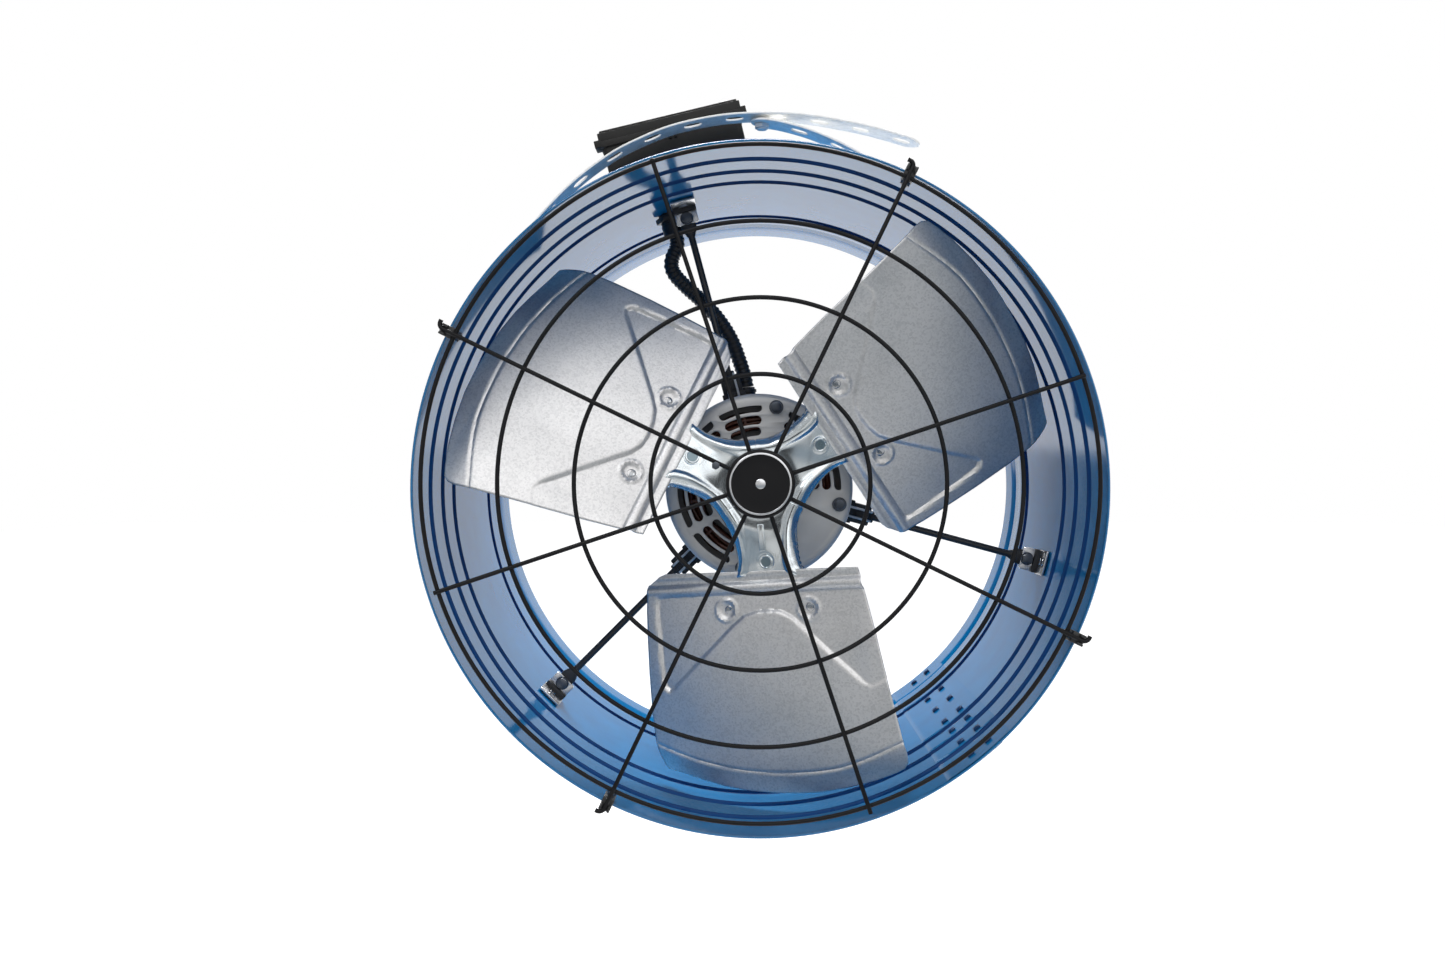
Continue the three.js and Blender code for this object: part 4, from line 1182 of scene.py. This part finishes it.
for count, angle in enumerate(STRUT_ANGLES, 1):
    rod = shaped_sheet(f"strut_piece_{count}", 20, 60, strut_point, 40)
    activate(rod)
    bpy.ops.object.mode_set(mode="EDIT")
    bpy.ops.mesh.select_all(action="DESELECT")
    bpy.ops.mesh.select_mode(type="VERT")
    bpy.ops.mesh.select_non_manifold()
    bpy.ops.mesh.edge_face_add()
    bpy.ops.object.mode_set(mode="OBJECT")
    clean(rod, 40)
    stands_for(placed(rod, angle), "housing", rod_black, "dark_steel", f"strut_{count}")


# ---- strut brackets --------------------------------------------------------------------
# Small bright angle brackets spot-welded inside the drum, one leg against the wall and the
# other standing in to take the strut's bolt.
bright_plate = finish(
    "bright_plate", (0.52, 0.53, 0.55), (0.70, 0.71, 0.72), 0.26, metallic=0.95, grain=1500, bump=0.1, wear=0.2,
)
leg = plate(
    "bracket_leg", [(177.2, -6.4), (178.2, -7.4), (189.4, -7.4), (189.4, 7.4), (178.2, 7.4), (177.2, 6.4)],
    [circle(2.6, 24, (181, 0))], 1.5, 0.25,
)
laid(leg, 0, 135.4, 0)
foot = block("bracket_foot", (188.0, 115.4, -8), (189.6, 134.2, 8), 0.4, 2)
fold = block("bracket_fold", (187.6, 132.9, -8), (189.6, 135.4, 8), 0.8, 3)
spots = []
for y in (120.5, 128.0):
    dimple = turned("weld_spot", [(2.3, 0.0), (2.0, 0.35), (1.2, 0.25), (0.4, 0.2)], 24, closed=True)
    spots.append(along(dimple, (188.1, y, 0), (-1, 0, 0)))
bracket = joined("strut_bracket", [leg, foot, fold, *spots])
pad = block("bracket_pad", (184.9, 130.6, -7.7), (188.6, 139.4, 7.7), 0.6, 3)
for count, angle in enumerate(STRUT_ANGLES, 1):
    one = placed(copied(bracket, f"strut_bracket_piece_{count}"), angle)
    stands_for(one, "housing", bright_plate, "bright_steel", f"strut_bracket_{count}")
    cushion = placed(copied(pad, f"bracket_pad_{count}"), angle)
    stands_for(cushion, "housing", soft_black, "black_rubber")
bpy.data.objects.remove(bracket)
bpy.data.objects.remove(pad)


# ---- bracket bolts ---------------------------------------------------------------------
# A hexagon bolt through each bracket and strut pad, head in front and nut behind.
head = moved(hexagon("bracket_bolt_head", 3.7, 2.8, 0.35), 0, 0, 0.2)
nut = moved(hexagon("bracket_bolt_nut", 3.8, 2.8, 0.35), 0, 0, -7.7)
bolt = joined("bracket_bolt", [
    head, nut, stem("bracket_bolt_stem", 2.0, -9.5, 1.0),
    turned("bracket_bolt_flange", [(4.1, -0.2), (4.3, 0.0), (4.2, 0.4), (3.8, 0.7)], 32, closed=True),
])
for count, angle in enumerate(STRUT_ANGLES, 1):
    one = along(copied(bolt, f"bracket_bolt_piece_{count}"), out(181, angle, 133.7), (0, -1, 0))
    stands_for(one, "housing", dark_bolt, "dark_steel", f"bracket_bolt_{count}")
bpy.data.objects.remove(bolt)


# ---- conduit ---------------------------------------------------------------------------
# Corrugated black conduit carries the motor's wires out to the box, from a fitting on the
# motor's waist to a nut-backed gland through the drum.
CONDUIT_Y, FITTING_ANGLE, GLAND_ANGLE = 150, 97, 108.2
ROUTE = (
    (66.6, 97), (73, 97.1), (83, 98.4), (99, 100.2), (115, 103.5), (128, 106.7), (141, 110), (153.5, 112),
    (162, 111), (168.5, 108.3), (174.9, 108.2),
)
ribbed_black = finish(
    "ribbed_black", (0.013, 0.013, 0.014), (0.024, 0.024, 0.025), 0.42, grain=1600, bump=0.15, dust=0.2,
)
line = bpy.data.curves.new("conduit_line", "CURVE")
line.dimensions = "3D"
run = line.splines.new("NURBS")
run.points.add(len(ROUTE) - 1)
for spot, (r, a) in zip(run.points, ROUTE):
    spot.co = (*(Vector(out(r, a, CONDUIT_Y)) * mm), 1)
run.order_u = 3
run.use_endpoint_u = True
run.resolution_u = 24


def traced(line):
    """The points of a smooth line, in millimetres."""
    guide = bpy.data.objects.new(line.name, line)
    bpy.context.collection.objects.link(guide)
    activate(guide)
    bpy.ops.object.convert(target="MESH")
    guide = bpy.context.object
    points = [p.co / mm for p in guide.data.vertices]
    bpy.data.objects.remove(guide)
    return points


def spaced(path, step):
    """The path's points taken again at an even step."""
    spots, left = [path[0]], step
    for a, b in zip(path, path[1:]):
        length = (b - a).length
        while left <= length and length > 0:
            spots.append(a.lerp(b, left / length))
            a, length, left = spots[-1], length - left, step
        left -= length
    return spots


ribs = spaced(traced(line), 0.5)
RIB_STEPS = 6
hose = bpy.data.curves.new("conduit", "CURVE")
hose.dimensions = "3D"
hose.bevel_depth = 1.0 * mm
hose.bevel_resolution = 6
hose.use_fill_caps = True
run = hose.splines.new("POLY")
run.points.add(len(ribs) - 1)
for n, (spot, point) in enumerate(zip(run.points, ribs)):
    spot.co = (*(point * mm), 1)
    spot.radius = 4.8 + 0.3 * sin(2 * pi * n / RIB_STEPS)
conduit = bpy.data.objects.new("conduit_hose", hose)
bpy.context.collection.objects.link(conduit)
activate(conduit)
bpy.ops.object.convert(target="MESH")
conduit = clean(bpy.context.object, 60)
stands_for(conduit, "housing", ribbed_black, "black_rubber", "conduit")
fitting = joined("conduit_fitting", [
    turned(
        "fitting_body", [(6.4, 58.3), (6.6, 58.6), (6.6, 60.2), (5.6, 60.6), (5.6, 65.6), (5.3, 66.0)], 48,
        closed=True,
    ),
    turned("fitting_ring", [(6.0, 62.4), (6.4, 62.8), (6.4, 64.2), (6.0, 64.6)], 48, closed=True),
])
stands_for(
    along(fitting, (0, CONDUIT_Y, 0), out(1, FITTING_ANGLE, 0)), "housing", ribbed_black, "black_rubber",
    "conduit_motor_fitting",
)
gland_nut = moved(hexagon("gland_nut", 10, 3.6, 0.5), 0, 0, 185.5)
gland = joined("conduit_gland_body", [
    gland_nut,
    turned(
        "gland_barrel", [(6.6, 175.5), (7.5, 176.2), (7.5, 183.0), (7.1, 183.4), (7.1, 202.6), (6.8, 203.0)],
        48, closed=True,
    ),
])
stands_for(
    along(gland, (0, CONDUIT_Y, 0), out(1, GLAND_ANGLE, 0)), "housing", ribbed_black, "black_rubber",
    "conduit_gland",
)


# ---- terminal box ----------------------------------------------------------------------
# A moulded grey box saddled on the drum, open at the top, with its long sides along the duct.
# Inside are a terminal block and the motor's run capacitor.
BOX_ANGLE = 103.5
box_grey = finish(
    "box_grey", (0.013, 0.0128, 0.0125), (0.020, 0.0195, 0.019), 0.5, grain=1900, bump=0.22, gloss=0.22,
    dust=0.05,
)
base = block("box_base_body", (192.6, 62, -40.4), (221, 168, 43.6), 0, 1)
activate(base)
bpy.ops.object.mode_set(mode="EDIT")
bpy.ops.mesh.select_mode(type="EDGE")
bpy.ops.mesh.select_all(action="SELECT")
bpy.ops.mesh.bevel(offset=3.2 * mm, segments=5)
bpy.ops.mesh.select_all(action="SELECT")
bpy.ops.mesh.bisect(plane_co=(0.2206, 0, 0), plane_no=(1, 0, 0), clear_outer=True)
bpy.ops.mesh.select_all(action="SELECT")
bpy.ops.mesh.subdivide(number_cuts=1)
bpy.ops.object.mode_set(mode="OBJECT")
for point in base.data.vertices:
    x, z = point.co.x / mm, point.co.z / mm
    if x < 197:
        point.co.x = (sqrt(194.2 ** 2 - z * z) + (x - 192.6)) * mm
wall = base.modifiers.new("wall", "SOLIDIFY")
wall.thickness = 2.4 * mm
wall.offset = -1
clean(base, 35)
apply_all(base)
ribs_on_box = [base]
for y in (84, 108, 132, 150):
    ribs_on_box.append(block("box_rib", (200, y - 1.2, 43.0), (219, y + 1.2, 44.6), 0.4, 2))
    ribs_on_box.append(block("box_rib", (200, y - 1.2, -41.4), (219, y + 1.2, -39.8), 0.4, 2))
entry = turned(
    "cable_entry", [(7.5, 0.0), (12.4, 0.0), (12.4, 1.2), (11.8, 1.8), (8.4, 1.8), (7.9, 1.2), (7.5, 0.0)], 48,
)
knockout = turned("cable_blank", [(7.6, 0.1), (7.6, 0.7), (7.2, 1.0), (0.5, 1.0)], 48, closed=True)
for part in (entry, knockout):
    laid(part, 207.5, 168, 1.6, -pi / 2)
base = joined("box_base_moulding", [*ribs_on_box, entry, knockout])
stands_for(placed(base, BOX_ANGLE), "housing", box_grey, "grey_plastic", "box_base")
pale_block = finish("pale_block", (0.55, 0.54, 0.50), (0.62, 0.61, 0.57), 0.45, grain=1500, bump=0.1)
black_can = finish("black_can", (0.02, 0.02, 0.022), (0.03, 0.03, 0.032), 0.35, grain=1500, bump=0.1)
paints("terminal_block", pale_block)
paints("run_capacitor", black_can)


# ---- box lid ---------------------------------------------------------------------------
# The lid overhangs the box a little all round, with a raised panel on top, a lip that drops in
# front with a notch at its middle, and a tab at each front corner for opening it.
lid_plate = block("lid_plate", (219.6, 61.2, -41.9), (227.4, 169, 45.1), 0.5, 3)
panel = block("lid_panel", (226.8, 62.6, -40.6), (229.0, 167.6, 43.8), 0.7, 3)
recess = block("lid_label_field", (228.6, 92, -20), (229.4, 138, 22), 0.35, 2)
lower_step = block("lid_step", (218.6, 60.6, -41.2), (222.2, 64.0, 0.4), 0.4, 2)
other_step = block("lid_step", (218.6, 60.6, 2.2), (222.2, 64.0, 44.4), 0.4, 2)
tab_left = block("lid_tab", (219.0, 60.8, 43.6), (223.4, 73.0, 48.0), 0.5, 3)
tab_right = block("lid_tab", (219.0, 60.8, -44.8), (223.4, 73.0, -40.4), 0.5, 3)
latch = block("lid_latch", (214.6, 60.9, -1.2), (222.4, 62.8, 0.6), 0.3, 2)
latch_two = block("lid_latch", (214.6, 60.9, 2.0), (222.4, 62.8, 3.8), 0.3, 2)
lid = joined(
    "box_lid_moulding",
    [lid_plate, panel, recess, lower_step, other_step, tab_left, tab_right, latch, latch_two],
)
stands_for(placed(lid, BOX_ANGLE), "housing", box_grey, "grey_plastic", "box_lid")


# ---- lid screws ------------------------------------------------------------------------
# Two bright cross-headed screws in sunk seats at opposite corners of the lid.
cross_head = turned(
    "lid_screw_head", [(3.3, 228.0), (3.4, 228.6), (3.4, 229.8), (3.1, 230.5), (2.2, 230.95), (0.4, 231.0)], 40,
    closed=True,
)
cross_cut(cross_head, 2.1, 0.45, 230.2, 231.2)
seat = turned(
    "screw_seat", [(3.5, 228.4), (4.6, 229.0), (4.9, 229.3), (5.4, 229.1), (5.4, 228.4), (3.5, 228.4)], 40,
)
screw = joined("lid_screw", [cross_head, seat, stem("lid_screw_stem", 1.6, 210, 228.4)])
for count, (y, t) in enumerate(((70, -32.4), (160, 35.6)), 1):
    one = moved(along(copied(screw, f"lid_screw_piece_{count}"), (0, y, 0), (1, 0, 0)), 0, 0, t)
    stands_for(placed(one, BOX_ANGLE), "housing", plated_bolt, "bright_steel", f"lid_screw_{count}")
bpy.data.objects.remove(screw)


# ---- hanging strap ---------------------------------------------------------------------
# A slotted galvanised band drawn right round the drum. One end runs on over the top of the box
# side to a rounded free tip, and the other comes up under it and is bolted to it.
STRAP_R, STRAP_T, STRAP_Y = 195.8, 1.2, 46.0
BAND_HALF, SLOT_PITCH = 9.6, 24.7
corners_of_path = [(65, 24.9), (76, 21.4), (88.4, 20.6), (101, 19.6), (109, 17.4), (116.5, 14), (128, 6.6)]
corners_of_path += [(angle, 0) for angle in range(140, 425, 4)]
corners_of_path += [(78.5 + 360, 9.9), (86.5 + 360, 15.6), (91.5 + 360, 18)]
line = bpy.data.curves.new("strap_line", "CURVE")
line.dimensions = "3D"
run = line.splines.new("BEZIER")
run.bezier_points.add(len(corners_of_path) - 1)
for spot, (angle, rise) in zip(run.bezier_points, corners_of_path):
    spot.co = Vector(out(STRAP_R + rise, angle, STRAP_Y)) * mm
    spot.handle_left_type = spot.handle_right_type = "AUTO"
run.resolution_u = 12
band_line = spaced(traced(line), 1.0)
length = len(band_line) - 1.0


def stadium(x, y, long, wide, corners=8):
    r, reach = wide / 2, (long - wide) / 2
    loop = []
    for n in range(corners + 1):
        a = -pi / 2 + pi * n / corners
        loop.append((x + reach + r * cos(a), y + r * sin(a)))
    for n in range(corners + 1):
        a = pi / 2 + pi * n / corners
        loop.append((x - reach + r * cos(a), y + r * sin(a)))
    return loop


def band_end(x, side):
    r = side * BAND_HALF
    return [(x - r + r * cos(radians(a)), r * sin(radians(a))) for a in range(-90, 91, 15)]


cuts = []
for n in range(int((length - 22) / SLOT_PITCH) + 1):
    at = 11 + n * SLOT_PITCH
    cuts.append(stadium(at, 0, 10.5, 7.0))
band_outline = band_end(length, 1) + band_end(0, -1)
band = plate("hanging_band", band_outline, cuts, STRAP_T, 0.25)
activate(band)
bpy.ops.object.mode_set(mode="EDIT")
for at in range(4, int(length), 4):
    bpy.ops.mesh.select_all(action="SELECT")
    bpy.ops.mesh.bisect(plane_co=(at * mm, 0, 0), plane_no=(1, 0, 0))
bpy.ops.object.mode_set(mode="OBJECT")
for point in band.data.vertices:
    s = min(max(point.co.x / mm, 0.0), length - 0.001)
    n = min(int(s), len(band_line) - 2)
    here = band_line[n].lerp(band_line[n + 1], s - n)
    before, after = band_line[max(0, n - 1)], band_line[min(len(band_line) - 1, n + 2)]
    heading = (after - before).normalized()
    outward = Vector((heading.z, 0, -heading.x))
    rise = point.co.z / mm - STRAP_T / 2
    point.co = (here + outward * rise + Vector((0, point.co.y / mm, 0))) * mm
clean(band, 30)
band_zinc = finish(
    "band_zinc", (0.84, 0.83, 0.80), (0.93, 0.92, 0.89), 0.55, metallic=0.0, gloss=0.25, grain=1400, bump=0.12,
    flakes=420, flake_bump=0.04, dust=0.15,
)
stands_for(band, "housing", band_zinc, "galvanised", "hanging_strap")


# ---- strap bolt ------------------------------------------------------------------------
# One plated bolt with a low round head above and a nut below joins the two ends of the band.
low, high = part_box("strap_bolt")
bolt_x, bolt_y = (low.x + high.x) / 2 / mm, (low.y + high.y) / 2 / mm
foot_z, top_z = low.z / mm, high.z / mm
nut_below = moved(hexagon("strap_bolt_nut", 4.6, 2.6, 0.4), 0, 0, foot_z + 1.2)
dome = turned(
    "strap_bolt_dome",
    [(5.2, top_z - 3.6), (5.4, top_z - 3.3), (4.6, top_z - 2.7), (2.8, top_z - 2.3), (0.5, top_z - 2.15)], 40,
    closed=True,
)
joint_bolt = joined(
    "strap_joint_bolt", [nut_below, dome, stem("strap_bolt_stem", 3.0, foot_z + 0.4, top_z - 3.0)],
)
stands_for(moved(joint_bolt, bolt_x, bolt_y, 0), "housing", plated_bolt, "bright_steel", "strap_bolt")
